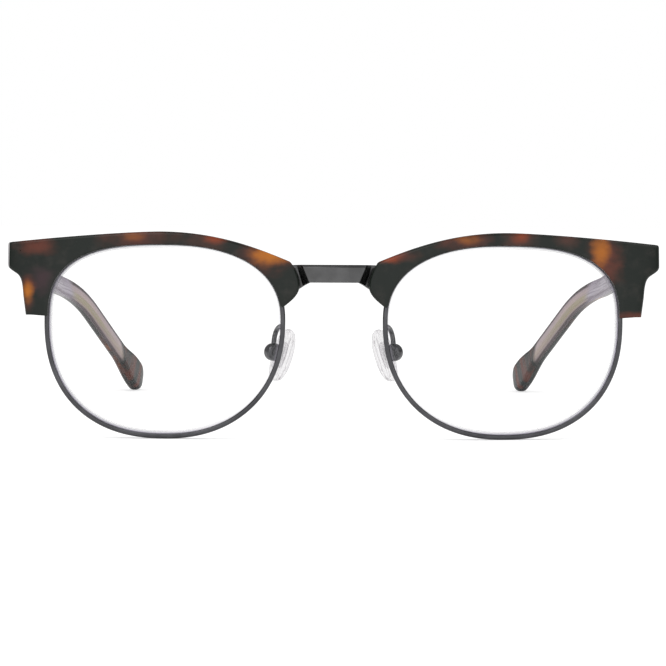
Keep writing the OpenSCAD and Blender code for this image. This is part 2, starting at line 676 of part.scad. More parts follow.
on_side(1) temple_hinge();  // temple_hinge_right
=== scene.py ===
"""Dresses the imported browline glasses: rounded acetate, plated wire, clear lenses, and the studio."""

import json
import logging
import math
from dataclasses import dataclass, field
from enum import Enum
from typing import Callable, Iterable, Optional, Sequence, Union

import bmesh
import bpy
from mathutils import Matrix, Vector


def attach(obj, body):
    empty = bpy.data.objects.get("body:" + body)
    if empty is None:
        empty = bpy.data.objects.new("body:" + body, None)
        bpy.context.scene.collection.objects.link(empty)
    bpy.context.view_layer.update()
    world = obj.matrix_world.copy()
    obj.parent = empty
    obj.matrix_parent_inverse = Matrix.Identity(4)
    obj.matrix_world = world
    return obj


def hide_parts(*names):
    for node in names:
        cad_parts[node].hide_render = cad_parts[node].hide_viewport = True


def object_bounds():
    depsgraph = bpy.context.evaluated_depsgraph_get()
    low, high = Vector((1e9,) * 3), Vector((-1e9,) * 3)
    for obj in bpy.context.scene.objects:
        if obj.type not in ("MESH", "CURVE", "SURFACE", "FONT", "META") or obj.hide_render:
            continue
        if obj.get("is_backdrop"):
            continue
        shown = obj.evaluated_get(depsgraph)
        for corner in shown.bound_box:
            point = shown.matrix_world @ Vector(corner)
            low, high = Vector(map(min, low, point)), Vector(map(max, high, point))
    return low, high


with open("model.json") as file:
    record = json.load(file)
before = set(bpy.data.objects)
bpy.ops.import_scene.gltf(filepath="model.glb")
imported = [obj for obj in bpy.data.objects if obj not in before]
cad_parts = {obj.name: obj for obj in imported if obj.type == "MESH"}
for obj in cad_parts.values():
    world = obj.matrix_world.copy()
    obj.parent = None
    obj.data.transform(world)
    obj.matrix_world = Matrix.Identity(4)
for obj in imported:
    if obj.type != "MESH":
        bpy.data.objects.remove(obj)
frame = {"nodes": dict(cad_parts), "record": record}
log = logging.getLogger("glasses")
MM = 0.001
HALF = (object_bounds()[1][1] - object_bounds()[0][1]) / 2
Pair = tuple[float, float]
Path = list[Pair]


class Side(Enum):
    """The two halves of the glasses, as seen from the front."""
    LEFT = -1
    RIGHT = 1

    @property
    def tag(self) -> str:
        """Name ending of this side's nodes and pieces."""
        return self.name.lower()

    def place(self, p: Pair, y: float) -> Vector:
        """Returns the frame's point for front view place p at depth y behind the bridge."""
        return Vector((self.value * p[0], y - HALF, p[1]))

    def local(self, point: Vector) -> Vector:
        """Returns a point of the frame as it lies on the +X side, with y counted from the bridge."""
        return Vector((self.value * point.x, point.y + HALF, point.z))

    def sheet(self, p: Pair, out: float) -> Vector:
        """Returns the frame's point at front view place p, a distance out in front of the lens middle."""
        return self.place(p, front.lens.depth(p, out))

    def mirror(self) -> Matrix:
        """Returns the matrix that turns the +X side into this side."""
        return Matrix.Diagonal((self.value, 1, 1, 1))


# Shapes in the plane


def lerp(a: float, b: float, t: float) -> float:
    """Returns the value a share t of the way from a to b."""
    return a + (b - a) * t


def between(a: Pair, b: Pair, t: float) -> Pair:
    """Returns the point a share t of the way from a to b."""
    return (lerp(a[0], b[0], t), lerp(a[1], b[1], t))


def moved(p: Pair, dx: float, dz: float) -> Pair:
    """Returns a point moved by millimetres."""
    return (p[0] + dx * MM, p[1] + dz * MM)


def offset(p: Pair, n: Pair, d: float) -> Pair:
    """Returns the point a distance d from p in the direction of unit vector n."""
    return (p[0] + n[0] * d, p[1] + n[1] * d)


def eased(t: float) -> float:
    """Returns t from 0 to 1 with a smooth start and end."""
    u = min(1.0, max(0.0, t))
    return u * u * (3 - 2 * u)


def bezier(a: Sequence[float], b: Sequence[float], c: Sequence[float], d: Sequence[float],
           n: int) -> list[tuple]:
    """Draws a cubic curve from a to d.

    Args:
        a: First point.
        b: Handle of the first point.
        c: Handle of the last point.
        d: Last point.
        n: Number of points.

    Returns:
        The points, without d.
    """
    out = []
    for i in range(n):
        t = i / n
        u = 1 - t
        shares = (u ** 3, 3 * u * u * t, 3 * u * t * t, t ** 3)
        out.append(tuple(sum(k * p[axis] for k, p in zip(shares, (a, b, c, d))) for axis in range(len(a))))
    return out


def resampled(path: Path, step: float) -> Path:
    """Adds points to an open path.

    Args:
        path: The points.
        step: Largest distance from a point to the next.

    Returns:
        The path with the points added.
    """
    out = []
    for a, b in zip(path, path[1:]):
        n = max(1, math.ceil(math.dist(a, b) / step))
        out += [between(a, b, i / n) for i in range(n)]
    return out + [path[-1]]


def normals(path: Path) -> Path:
    """Finds the normals of an open path.

    Args:
        path: The points.

    Returns:
        A unit normal for each point, to the left of the path's direction.
    """
    out = []
    for i in range(len(path)):
        a, b = path[max(0, i - 1)], path[min(len(path) - 1, i + 1)]
        size = math.dist(a, b)
        out.append(((a[1] - b[1]) / size, (b[0] - a[0]) / size))
    return out


def quarter(radius: float, start: float, steps: int) -> Path:
    """Returns the points of a quarter circle about the origin from an angle in degrees, turning left."""
    angles = [math.radians(start + 90 * i / steps) for i in range(steps + 1)]
    return [(radius * math.cos(a), radius * math.sin(a)) for a in angles]


# Sizes, the same as the solids have, but for the foot of the nose lobe, which is 0.4 mm higher


@dataclass
class Lens:
    """Outline and curve of one lens, drawn on the +X side.

    Places are (x, z) in a front view, and y counts back from the front of the bridge.
    """
    width: float = 51 * MM
    height: float = 41.5 * MM
    waist: float = 24.8 * MM
    gap: float = 22 * MM
    square_temple: float = 2.75
    square_nose: float = 2.35
    square_low_nose: float = 2.22
    square_low_temple: float = 2.32
    curve: float = 150 * MM
    turn: float = 5.0
    thick: float = 1.8 * MM
    set_back: float = 2.6 * MM
    wall: float = 0.55 * MM
    groove: float = 0.5 * MM
    rim_depth: float = 2 * MM

    @property
    def centre(self) -> Pair:
        """Middle of the widest line of the lens."""
        return ((self.gap + self.width) / 2, self.wall + self.waist)

    @property
    def inner_x(self) -> float:
        """Place of the lens edge nearest to the nose."""
        return self.gap / 2

    @property
    def outer_x(self) -> float:
        """Place of the lens edge nearest to the temple."""
        return self.gap / 2 + self.width

    @property
    def top_z(self) -> float:
        """Height of the highest point of the lens."""
        return self.wall + self.height

    def bearing(self, p: Pair) -> float:
        """Returns the angle, in degrees, of a place about the middle."""
        return math.degrees(math.atan2(p[1] - self.centre[1], p[0] - self.centre[0]))

    def edge(self, angle: float) -> Pair:
        """Finds a point of the lens edge.

        Args:
            angle: Angle about the middle in degrees, 0 on the temple side and 90 at the top.

        Returns:
            The front view place.
        """
        a = angle % 360
        squares = (self.square_temple, self.square_nose, self.square_low_nose, self.square_low_temple)
        n = squares[int(a // 90) % 4]
        tall = self.height - self.waist if a < 180 else self.waist
        c, s = math.cos(math.radians(a)), math.sin(math.radians(a))
        reach = ((abs(c) / (self.width / 2)) ** n + (abs(s) / tall) ** n) ** (-1 / n)
        return (self.centre[0] + reach * c, self.centre[1] + reach * s)

    def edge_out(self, angle: float, d: float) -> Pair:
        """Finds a point outside the lens edge.

        Args:
            angle: Angle about the middle in degrees.
            d: Distance outside the edge, square to it.

        Returns:
            The front view place.
        """
        a, b = self.edge(angle - 0.5), self.edge(angle + 0.5)
        size = math.dist(a, b)
        p = self.edge(angle)
        return (p[0] + d * (b[1] - a[1]) / size, p[1] - d * (b[0] - a[0]) / size)

    def depth(self, p: Pair, out: float) -> float:
        """Finds the depth of a sheet that is curved as the lens is.

        Args:
            p: Front view place.
            out: Distance of the sheet in front of the lens middle.

        Returns:
            The depth y.
        """
        turn = math.radians(self.turn)
        cx = self.centre[0] - self.curve * math.sin(turn)
        cy = self.set_back + self.curve * math.cos(turn)
        cz = self.wall + self.height / 2
        return cy - math.sqrt((self.curve + out) ** 2 - (p[0] - cx) ** 2 - (p[1] - cz) ** 2)


@dataclass
class Temple:
    """Side arm: a shaft, a bend over the ear and a round end, with a clear layer on the inside."""
    shaft: float = 76 * MM
    bend_r: float = 65 * MM
    bend: float = math.radians(21.5)
    tip: float = 39 * MM
    height_hinge: float = 5.8 * MM
    height_shaft: float = 4.6 * MM
    height_tip: float = 8 * MM
    outer: float = 1.8 * MM
    lining: float = 1.5 * MM
    lean_shaft: float = math.radians(1)
    lean_tip: float = math.radians(14)
    blend: float = 20 * MM
    taper: float = 40 * MM
    swell: float = 16 * MM
    full: float = 2 * MM
    leaf: float = 11 * MM
    leaf_half: float = 2.45 * MM
    leaf_sink: float = 0.85 * MM
    stand: float = 1.6 * MM

    @property
    def arc(self) -> float:
        """Length of the bend."""
        return self.bend_r * self.bend

    @property
    def length(self) -> float:
        """Length from the hinge pin to the middle of the round end."""
        return self.shaft + self.arc + self.tip

    @property
    def thick(self) -> float:
        """Thickness of both layers."""
        return self.outer + self.lining

    def angle(self, s: float) -> float:
        """Returns the angle under the shaft at length s."""
        return min(self.bend, max(0.0, s - self.shaft) / self.bend_r)

    def centre(self, s: float) -> Pair:
        """Finds a point of the centre line.

        Args:
            s: Length from the hinge pin.

        Returns:
            (distance along the shaft, height).
        """
        if s <= self.shaft:
            return (s, 0.0)
        a = self.angle(s)
        rest = max(0.0, s - self.shaft - self.arc)
        return (self.shaft + self.bend_r * math.sin(a) + rest * math.cos(a),
                -self.bend_r * (1 - math.cos(a)) - rest * math.sin(a))

    def found(self, y: float, z: float) -> Pair:
        """Finds where a place in the side view lies on the temple.

        Args:
            y: Distance along the shaft.
            z: Height over the shaft's centre line.

        Returns:
            (length, height over the centre line).
        """
        if y <= self.shaft:
            return (y, z)
        a = math.atan2(y - self.shaft, z + self.bend_r)
        if a <= self.bend:
            return (self.shaft + self.bend_r * a, math.hypot(y - self.shaft, z + self.bend_r) - self.bend_r)
        start = self.centre(self.shaft + self.arc)
        dy, dz = y - start[0], z - start[1]
        c, s = math.cos(self.bend), math.sin(self.bend)
        return (self.shaft + self.arc + dy * c - dz * s, dy * s + dz * c)

    def height(self, s: float) -> float:
        """Finds the height of the temple.

        Args:
            s: Length from the hinge pin.

        Returns:
            The height from edge to edge.
        """
        tall = self.height_shaft + (self.height_hinge - self.height_shaft) * eased(1 - s / self.taper)
        swell = eased((s - self.length + self.swell) / (self.swell - self.full))
        return tall + (self.height_tip - self.height_shaft) * swell

    def inner_x(self, y: float) -> float:
        """Finds the place of the inner face.

        Args:
            y: Distance behind the pin.

        Returns:
            The distance out from the pin.
        """
        past = max(0.0, y - self.shaft + self.blend / 2)
        bent = past ** 2 / (2 * self.blend) if past < self.blend else past - self.blend / 2
        low, high = math.tan(self.lean_shaft), math.tan(self.lean_tip)
        return self.stand - low * max(0.0, y - self.leaf) - (high - low) * bent


@dataclass
class Front:
    """Places that the front's pieces share."""
    lens: Lens = field(default_factory=Lens)
    temple: Temple = field(default_factory=Temple)
    fit: float = 0.05 * MM
    brow_t: float = 4.2 * MM
    lip: float = 1.2 * MM
    brow_rise: float = 2.45 * MM
    end_fall: float = 2.5 * MM
    end_reach: float = 8.8 * MM
    end_h: float = 5.65 * MM
    drop_w: float = 4.6 * MM
    drop_h: float = 1 * MM
    lobe_reach: float = 3.6 * MM
    lobe_h: float = 3.1 * MM
    lobe_fall: float = 8.9 * MM
    peak_x: float = 1 * MM
    corner: float = 0.5 * MM
    low_corner: float = 0.9 * MM
    lip_in: float = 2.2 * MM
    lip_down: float = 1.2 * MM
    outline_step: float = 0.8 * MM
    bridge_h: float = 3.8 * MM
    bridge_fall: float = 8.3 * MM
    bridge_t: float = 1.6 * MM
    hinge: tuple = (65.7 * MM, 14.5 * MM, 39 * MM)
    pad_pivot: tuple = (13.1 * MM, 9.6 * MM, 18.35 * MM)
    pad_splay: float = math.radians(30)
    pad_lean: float = math.radians(18)
    pad_box_d: float = 3.8 * MM

    @property
    def lip_out(self) -> float:
        """Place of the back of the brow lip in front of the lens middle."""
        return self.lens.rim_depth / 2 + self.fit

    @property
    def face_out(self) -> float:
        """Place of the front of the brow in front of the lens middle."""
        return self.lip_out + self.lip

    @property
    def back_out(self) -> float:
        """Place of the back of the brow in front of the lens middle."""
        return self.face_out - self.brow_t

    @property
    def end_x(self) -> float:
        """Side of the end piece."""
        return self.lens.outer_x + self.end_reach

    @property
    def slope(self) -> float:
        """Angle by which the shaft falls so that the round end rests on the table.

        Returns:
            The angle in radians.
        """
        hub = self.temple.centre(self.temple.length)
        drop = self.hinge[2] - self.temple.height_tip / 2
        return math.asin(drop / math.hypot(*hub)) + math.atan2(hub[1], hub[0])

    @property
    def bridge_low(self) -> float:
        """Height of the lower edge of the bridge."""
        return self.lens.top_z - self.bridge_fall

    @property
    def lobe_tip(self) -> Pair:
        """Point of the nose lobe nearest to the nose."""
        return (self.lens.inner_x - self.lobe_reach, self.lens.top_z - self.lobe_fall)

    @property
    def arm_y(self) -> float:
        """Front of the bridge's arms behind the nose lobes."""
        return self.lens.depth(self.lobe_tip, self.lens.rim_depth / 2) + 0.1 * MM

    def butt_y(self, z: float) -> float:
        """Returns y, at height z, of the plane that the temple butts against."""
        stand = self.temple.stand / math.cos(self.slope)
        return self.hinge[1] - stand + (z - self.hinge[2]) * math.tan(self.slope)

    def hinge_place(self, side: Side) -> Matrix:
        """Returns the matrix from the hinge's own frame into the frame."""
        pin = Matrix.Translation((self.hinge[0], self.hinge[1] - HALF, self.hinge[2]))
        return side.mirror() @ pin @ Matrix.Rotation(-self.slope, 4, "X")

    def pad_place(self, side: Side) -> Matrix:
        """Finds the place of a nose pad's own frame, in which the nose is at -X.

        Args:
            side: Side of the pad.

        Returns:
            The matrix from that frame into the object.
        """
        pivot = Matrix.Translation((self.pad_pivot[0], self.pad_pivot[1] - HALF, self.pad_pivot[2]))
        turn = Matrix.Rotation(-self.pad_splay, 4, "Z") @ Matrix.Rotation(-self.pad_lean, 4, "Y")
        return side.mirror() @ pivot @ turn

    def brow_path(self) -> Path:
        """Draws the outline of a brow from the nose lobe over the top to its lower end.

        Returns:
            The points, on the +X side.
        """
        lens = self.lens
        foot = (lens.inner_x - 0.1 * MM, lens.centre[1] + self.lobe_h)
        tip = self.lobe_tip
        shoulder = moved(tip, 2.2, 5)
        peak = (lens.centre[0] + self.peak_x, lens.top_z + self.brow_rise)
        top, low = peak[1] - self.end_fall, peak[1] - self.end_fall - self.end_h
        side, turn = self.end_x, self.corner
        drop = (lens.outer_x + self.drop_w, lens.centre[1] + self.drop_h)
        lip = (side - self.lip_in, low - self.lip_down)
        neck = moved(drop, 0.6, 4.2)
        # Handles in millimetres from their own points
        path = bezier(foot, moved(foot, -1.7, 1.3), moved(tip, 0, -2.1), tip, 14)
        path += bezier(tip, moved(tip, 0, 1.8), moved(shoulder, -1.2, -1), shoulder, 14)
        path += bezier(shoulder, moved(shoulder, 7.8, 3.3), moved(peak, -11.5, 0), peak, 36)
        path += bezier(peak, moved(peak, 7, -0.05), moved((side, top), -11, 1.2), (side - turn, top), 36)
        path += [(side - turn, top), (side - 0.3 * turn, top - 0.3 * turn), (side, top - turn)]
        path += bezier((side, low + self.low_corner), (side, low), moved(lip, 1, 0.7), lip, 10)
        path += bezier(lip, moved(lip, -1, -0.7), moved(neck, 0.2, 2.4), neck, 12)
        return resampled(path + [neck, drop], self.outline_step)


front = Front()


# Mesh building

MERGE = 0.002 * MM


def swept(rings: Sequence[Sequence[Vector]]) -> bmesh.types.BMesh:
    """Draws a closed section out through a row of rings.

    Args:
        rings: The rings, with the same number of points.

    Returns:
        The mesh, closed at both ends.
    """
    bm = bmesh.new()
    face = bm.faces.new([bm.verts.new(p) for p in rings[0]])
    for ring in rings[1:]:
        made = bmesh.ops.extrude_face_region(bm, geom=[face, *face.edges])["geom"]
        face = next(part for part in made if isinstance(part, bmesh.types.BMFace))
        for vert, point in zip(face.verts, ring):
            vert.co = point
    return bm


def cleaned(bm: bmesh.types.BMesh) -> bmesh.types.BMesh:
    """Merges points that coincide and turns all faces outwards.

    Args:
        bm: The mesh, which is changed.

    Returns:
        The same mesh.
    """
    bmesh.ops.remove_doubles(bm, verts=bm.verts, dist=MERGE)
    bmesh.ops.recalc_face_normals(bm, faces=bm.faces)
    return bm


def rounded(bm: bmesh.types.BMesh, edges: Iterable, width: float, segments: int = 3) -> bmesh.types.BMesh:
    """Rounds edges of a mesh.

    Args:
        bm: The mesh, which is changed.
        edges: The edges.
        width: Distance that the rounding takes from each face.
        segments: Number of faces across the rounding.

    Returns:
        The same mesh.
    """
    bmesh.ops.bevel(bm, geom=list(edges), offset=width, segments=segments, profile=0.5, affect="EDGES",
                    clamp_overlap=True, material=-1)
    return bm


def sharp_edges(bm: bmesh.types.BMesh, angle: float) -> list[bmesh.types.BMEdge]:
    """Returns the edges whose faces turn by more than an angle in degrees."""
    bm.normal_update()
    return [e for e in bm.edges if len(e.link_faces) == 2 and e.calc_face_angle() > math.radians(angle)]


def finished(bm: bmesh.types.BMesh, name: str, crease: float = 40.0) -> bpy.types.Object:
    """Writes a bmesh into a new object with smooth faces and sharp edges.

    Args:
        bm: Mesh to write, which is freed.
        name: Name of the piece.
        crease: Edges that turn by more than this many degrees stay sharp.

    Returns:
        The object, linked to the scene.
    """
    cleaned(bm)
    mesh = bpy.data.meshes.new(name)
    bm.to_mesh(mesh)
    bm.free()
    mesh.polygons.foreach_set("use_smooth", [True] * len(mesh.polygons))
    mesh.set_sharp_from_angle(angle=math.radians(crease))
    obj = bpy.data.objects.new(name, mesh)
    bpy.context.scene.collection.objects.link(obj)
    return obj


def block(low: Sequence[float], high: Sequence[float], place: Matrix) -> bpy.types.Object:
    """Makes a plain cutting box.

    Args:
        low: Lowest corner.
        high: Highest corner.
        place: Matrix that moves the box into the frame.

    Returns:
        The box.
    """
    bm = bmesh.new()
    bmesh.ops.create_cube(bm, size=1)
    size = [h - l for l, h in zip(low, high)]
    middle = [(h + l) / 2 for l, h in zip(low, high)]
    shape = Matrix.Translation(middle) @ Matrix.Diagonal((*size, 1))
    bmesh.ops.transform(bm, matrix=place @ shape, verts=bm.verts)
    return finished(bm, "cutter")


def carved(obj: bpy.types.Object, cutters: Sequence[bpy.types.Object], crease: float) -> None:
    """Cuts boxes out of a piece and removes the boxes.

    Args:
        obj: The piece.
        cutters: The boxes.
        crease: Edges that turn by more than this many degrees stay sharp.
    """
    for cutter in cutters:
        cut = obj.modifiers.new("cut", "BOOLEAN")
        cut.operation = "DIFFERENCE"
        cut.solver = "EXACT"
        cut.use_self = True
        cut.object = cutter
    graph = bpy.context.evaluated_depsgraph_get()
    mesh = bpy.data.meshes.new_from_object(obj.evaluated_get(graph))
    obj.modifiers.clear()
    obj.data = mesh
    mesh.set_sharp_from_angle(angle=math.radians(crease))
    for cutter in cutters:
        bpy.data.objects.remove(cutter)


def noted(obj: bpy.types.Object, name: str, rule: Callable[[Vector], Sequence[float]]) -> None:
    """Writes a vector attribute that a finish follows.

    Args:
        obj: The piece.
        name: Name of the attribute.
        rule: Gives the three values at a vertex from its place.
    """
    layer = obj.data.attributes.new(name, "FLOAT_VECTOR", "POINT")
    layer.data.foreach_set("vector", [part for vert in obj.data.vertices for part in rule(vert.co)])


# Shader maths


class Socket:
    """Output of a shader node that can be reckoned with as if it were a number."""

    def __init__(self, nodes: "Nodes", out: bpy.types.NodeSocket) -> None:
        """Wraps an output of a node in a tree."""
        self.nodes = nodes
        self.out = out

    def math(self, operation: str, a: "Value", b: "Value") -> "Socket":
        """Returns a Math node's result."""
        return self.nodes.get("ShaderNodeMath", 0, {"operation": operation}, {0: a, 1: b})

    def __add__(self, other: "Value") -> "Socket":
        """Returns the sum."""
        return self.math("ADD", self, other)

    def __sub__(self, other: "Value") -> "Socket":
        """Returns this value less the other."""
        return self.math("SUBTRACT", self, other)

    def __rsub__(self, other: "Value") -> "Socket":
        """Returns the other value less this one."""
        return self.math("SUBTRACT", other, self)

    def __mul__(self, other: "Value") -> "Socket":
        """Returns the product."""
        return self.math("MULTIPLY", self, other)

    def __truediv__(self, other: "Value") -> "Socket":
        """Returns this value divided by the other."""
        return self.math("DIVIDE", self, other)

    __radd__ = __add__
    __rmul__ = __mul__

    def power(self, other: float) -> "Socket":
        """Returns this value raised to a power."""
        return self.math("POWER", self, other)

    def larger(self, other: "Value") -> "Socket":
        """Returns the larger of two values."""
        return self.math("MAXIMUM", self, other)

    def ramp(self, low: float, high: float) -> "Socket":
        """Returns 0 at low and 1 at high, with a smooth step between them."""
        return self.nodes.get("ShaderNodeMapRange", "Result", {"interpolation_type": "SMOOTHSTEP"},
                              {"Value": self, "From Min": low, "From Max": high})

    def band(self, low: float, high: float, soft: float) -> "Socket":
        """Returns 1 between low and high and 0 outside them, with soft ends."""
        return self.ramp(low - soft, low + soft) * self.ramp(high + soft, high - soft)


Value = Union[Socket, float, tuple]


class Nodes:
    """A node tree to which nodes are added by type, settings and socket values."""

    def __init__(self, tree: bpy.types.NodeTree) -> None:
        """Takes the tree that the nodes go into."""
        self.tree = tree

    def add(self, kind: str, settings: Optional[dict] = None,
            sockets: Optional[dict] = None) -> bpy.types.Node:
        """Adds a node.

        Args:
            kind: Type of the node.
            settings: Its settings, which are set first.
            sockets: Values or links of its inputs, by name or number.

        Returns:
            The node.
        """
        node = self.tree.nodes.new(kind)
        for key, value in (settings or {}).items():
            setattr(node, key, value)
        for key, value in (sockets or {}).items():
            self.feed(node.inputs[key], value)
        return node

    def get(self, kind: str, output: Union[str, int], settings: Optional[dict] = None,
            sockets: Optional[dict] = None) -> Socket:
        """Adds a node and returns one of its outputs."""
        return Socket(self, self.add(kind, settings, sockets).outputs[output])

    def feed(self, slot: bpy.types.NodeSocket, value: Value) -> None:
        """Links a socket to an input, or sets the input to a plain value.

        Args:
            slot: The input.
            value: The socket, number or colour.
        """
        if isinstance(value, Socket):
            self.tree.links.new(value.out, slot)
        elif slot.type == "RGBA":
            slot.default_value = (*value, 1.0)
        else:
            slot.default_value = value

    def seen(self) -> Socket:
        """Returns 1 for rays that come from the camera, straight or through a clear piece."""
        camera = self.get("ShaderNodeLightPath", "Is Camera Ray")
        return camera.larger(self.get("ShaderNodeLightPath", "Is Transmission Ray"))


class Shader(Nodes):
    """A material's node tree, with short calls for the nodes that the finishes need."""

    def __init__(self, name: str) -> None:
        """Makes a material with a surface shader and the shaded point's place.

        Args:
            name: Name of the material.
        """
        self.material = bpy.data.materials.new(name)
        self.material.use_nodes = True
        super().__init__(self.material.node_tree)
        self.tree.nodes.clear()
        self.surface = self.add("ShaderNodeBsdfPrincipled")
        output = self.add("ShaderNodeOutputMaterial")
        self.tree.links.new(self.surface.outputs[0], output.inputs["Surface"])
        self.place = self.get("ShaderNodeTexCoord", "Object")

    def set(self, **values: Value) -> None:
        """Sets inputs of the surface shader, such as base_color or roughness."""
        for key, value in values.items():
            self.feed(self.surface.inputs[key.replace("_", " ").title().replace("Ior", "IOR")], value)

    def axis(self, index: int, source: Optional[Socket] = None) -> Socket:
        """Returns one part of a vector, which is the shaded point in metres where none is given."""
        return self.get("ShaderNodeSeparateXYZ", index, None, {0: source or self.place})

    def attribute(self, name: str) -> Socket:
        """Returns a vector attribute of the piece."""
        return self.get("ShaderNodeAttribute", "Vector", {"attribute_name": name})

    def noise(self, scale: float, detail: float = 3.0, stretch: tuple = (1, 1, 1),
              source: Optional[Socket] = None) -> Socket:
        """Adds a noise pattern.

        Args:
            scale: Size of the pattern, in waves per unit.
            detail: Number of finer layers.
            stretch: Factors along the axes.
            source: Vector that the pattern follows, if not the shaded point.

        Returns:
            Noise from 0 to 1.
        """
        vector = self.get("ShaderNodeMapping", 0, None, {"Vector": source or self.place, "Scale": stretch})
        sockets = {"Vector": vector, "Scale": scale, "Detail": detail}
        return self.get("ShaderNodeTexNoise", "Fac", None, sockets)

    def mix(self, a: Value, b: Value, share: Socket) -> Socket:
        """Returns colour a with a share of colour b mixed in."""
        return self.get("ShaderNodeMix", 2, {"data_type": "RGBA"}, {0: share, 6: a, 7: b})

    def bump(self, height: Socket, depth: float, strength: float) -> None:
        """Bumps the surface by a height from 0 to 1 that stands for a depth in metres."""
        sockets = {"Height": height, "Distance": depth, "Strength": strength}
        self.feed(self.surface.inputs["Normal"], self.get("ShaderNodeBump", 0, None, sockets))


# Finishes


class Tone(Enum):
    """Colours inside the tortoise acetate, and one painted highlight colour, as linear light."""
    NIGHT = (0.011, 0.015, 0.012)
    SMOKE = (0.026, 0.026, 0.022)
    AMBER = (0.47, 0.145, 0.014)
    FLAME = (0.27, 0.048, 0.014)
    RUST = (0.135, 0.036, 0.022)
    UMBER = (0.085, 0.034, 0.024)
    PLUM = (0.050, 0.027, 0.032)
    # Painted highlight colour for the end piece's side bevel, not a colour of the acetate
    BEVEL = (0.58, 0.56, 0.57)


@dataclass(frozen=True)
class Cloud:
    """Soft cloud of colour in the acetate of the front, at a front view place in millimetres."""
    tone: Tone
    x: float
    z: float
    wide: float
    tall: float
    strength: float = 0.9
    reach: tuple = (1.6, 0.05)

    def mask(self, shader: Shader, wobble: Socket) -> Socket:
        """Draws the cloud as a mask.

        Args:
            shader: Shader that it goes into.
            wobble: Value that makes the edge waver.

        Returns:
            1 in the middle of the cloud and 0 outside it.
        """
        across = (shader.axis(0) - self.x * MM) / (self.wide * MM)
        up = (shader.axis(2) - self.z * MM) / (self.tall * MM)
        far = (across * across + up * up).power(0.5) + wobble
        return far.ramp(*self.reach) * self.strength


CLOUDS = (
    Cloud(Tone.RUST, x=-64.2, z=41.3, wide=4, tall=1.7),
    Cloud(Tone.PLUM, x=-63.2, z=34.2, wide=2.4, tall=2.6),
    Cloud(Tone.RUST, x=-66, z=33.2, wide=1.5, tall=1.7, strength=0.8),
    Cloud(Tone.UMBER, x=-66, z=29.2, wide=1.1, tall=2, strength=0.8),
    Cloud(Tone.AMBER, x=-66.2, z=31.5, wide=1.1, tall=2, strength=1.0),
    Cloud(Tone.RUST, x=-42.5, z=43, wide=6, tall=2.6, strength=0.75),
    Cloud(Tone.AMBER, x=-43.4, z=43.3, wide=2.6, tall=0.9, strength=0.3),
    Cloud(Tone.UMBER, x=-27, z=42.4, wide=4, tall=2.4, strength=0.8),
    Cloud(Tone.FLAME, x=-26, z=42.9, wide=2.4, tall=1.1, strength=0.75),
    Cloud(Tone.RUST, x=-14, z=39.2, wide=5.6, tall=3),
    Cloud(Tone.AMBER, x=-13.8, z=39.3, wide=3.6, tall=2.2, strength=1.0),
    Cloud(Tone.RUST, x=13.2, z=39.6, wide=4, tall=1.1),
    Cloud(Tone.FLAME, x=11.6, z=38.8, wide=2.4, tall=0.9),
    Cloud(Tone.RUST, x=28, z=42.6, wide=4.6, tall=1.8, strength=0.8),
    Cloud(Tone.AMBER, x=28.4, z=42.9, wide=2.4, tall=1.0, strength=0.55),
    Cloud(Tone.UMBER, x=40, z=43, wide=3.4, tall=2.2, strength=0.8),
    Cloud(Tone.FLAME, x=40, z=43.6, wide=1.7, tall=1.1, strength=0.8),
    Cloud(Tone.UMBER, x=50, z=43, wide=2.2, tall=1.6, strength=0.8),
    Cloud(Tone.RUST, x=58.8, z=38.8, wide=3.2, tall=4.6),
    Cloud(Tone.AMBER, x=57.7, z=40.6, wide=1.8, tall=2.8, strength=0.85),
    Cloud(Tone.RUST, x=64.3, z=26.6, wide=5, tall=0.8, strength=0.75),
)


@dataclass(frozen=True)
class Tortoise:
    """Polished acetate, near black with amber and rust clouds deep in it, and a painted highlight on the end
    piece's side where bevel is set.
    """
    name: str
    clouds: tuple = ()
    scattered: float = 0.0
    # bevel: x-place past which a painted highlight is laid on the end piece's side, 0 for none
    bevel: float = 0.0
    bevel_soft: float = 0.12 * MM
    bevel_deep: Pair = (1.1 * MM, 0.8 * MM)
    waver: float = 1.5
    waver_scale: float = 260
    smoke_scale: float = 420
    smoke: Pair = (0.45, 0.85)
    cloud_scale: float = 95
    rust: Pair = (0.50, 0.60)
    amber: Pair = (0.58, 0.70)
    polish_scale: float = 900

    def build(self) -> bpy.types.Material:
        """Makes the material.

        Returns:
            The material.
        """
        shader = Shader(self.name)
        wobble = (shader.noise(self.waver_scale, 2, (1, 0.5, 1.5)) - 0.5) * self.waver
        smoke = shader.noise(self.smoke_scale, 4).ramp(*self.smoke)
        colour = shader.mix(Tone.NIGHT.value, Tone.SMOKE.value, smoke)
        if self.scattered:
            cloud = shader.noise(self.cloud_scale, 4, (1.0, 0.55, 1.0))
            for tone, stops in ((Tone.RUST, self.rust), (Tone.AMBER, self.amber)):
                colour = shader.mix(colour, tone.value, cloud.ramp(*stops) * self.scattered)
        for cloud in self.clouds:
            colour = shader.mix(colour, cloud.tone.value, cloud.mask(shader, wobble))
        # Painted highlight: a light strip on the side of the end piece near its front, standing in for light
        # that its bevel catches
        if self.bevel:
            near = front.lens.depth((front.end_x, front.hinge[2]), front.face_out) - HALF
            edge = shader.axis(0).ramp(self.bevel, self.bevel - self.bevel_soft)
            edge = edge * shader.axis(1).ramp(*(near + deep for deep in self.bevel_deep))
            colour = shader.mix(colour, Tone.BEVEL.value, edge * 0.9)
        shader.set(base_color=colour, specular_ior_level=0.28, coat_weight=0.06, coat_roughness=0.03,
                   roughness=shader.noise(self.polish_scale, 2) * 0.08 + 0.14)
        shader.bump(shader.noise(140, 2), 0.02 * MM, 0.1)
        return shader.material


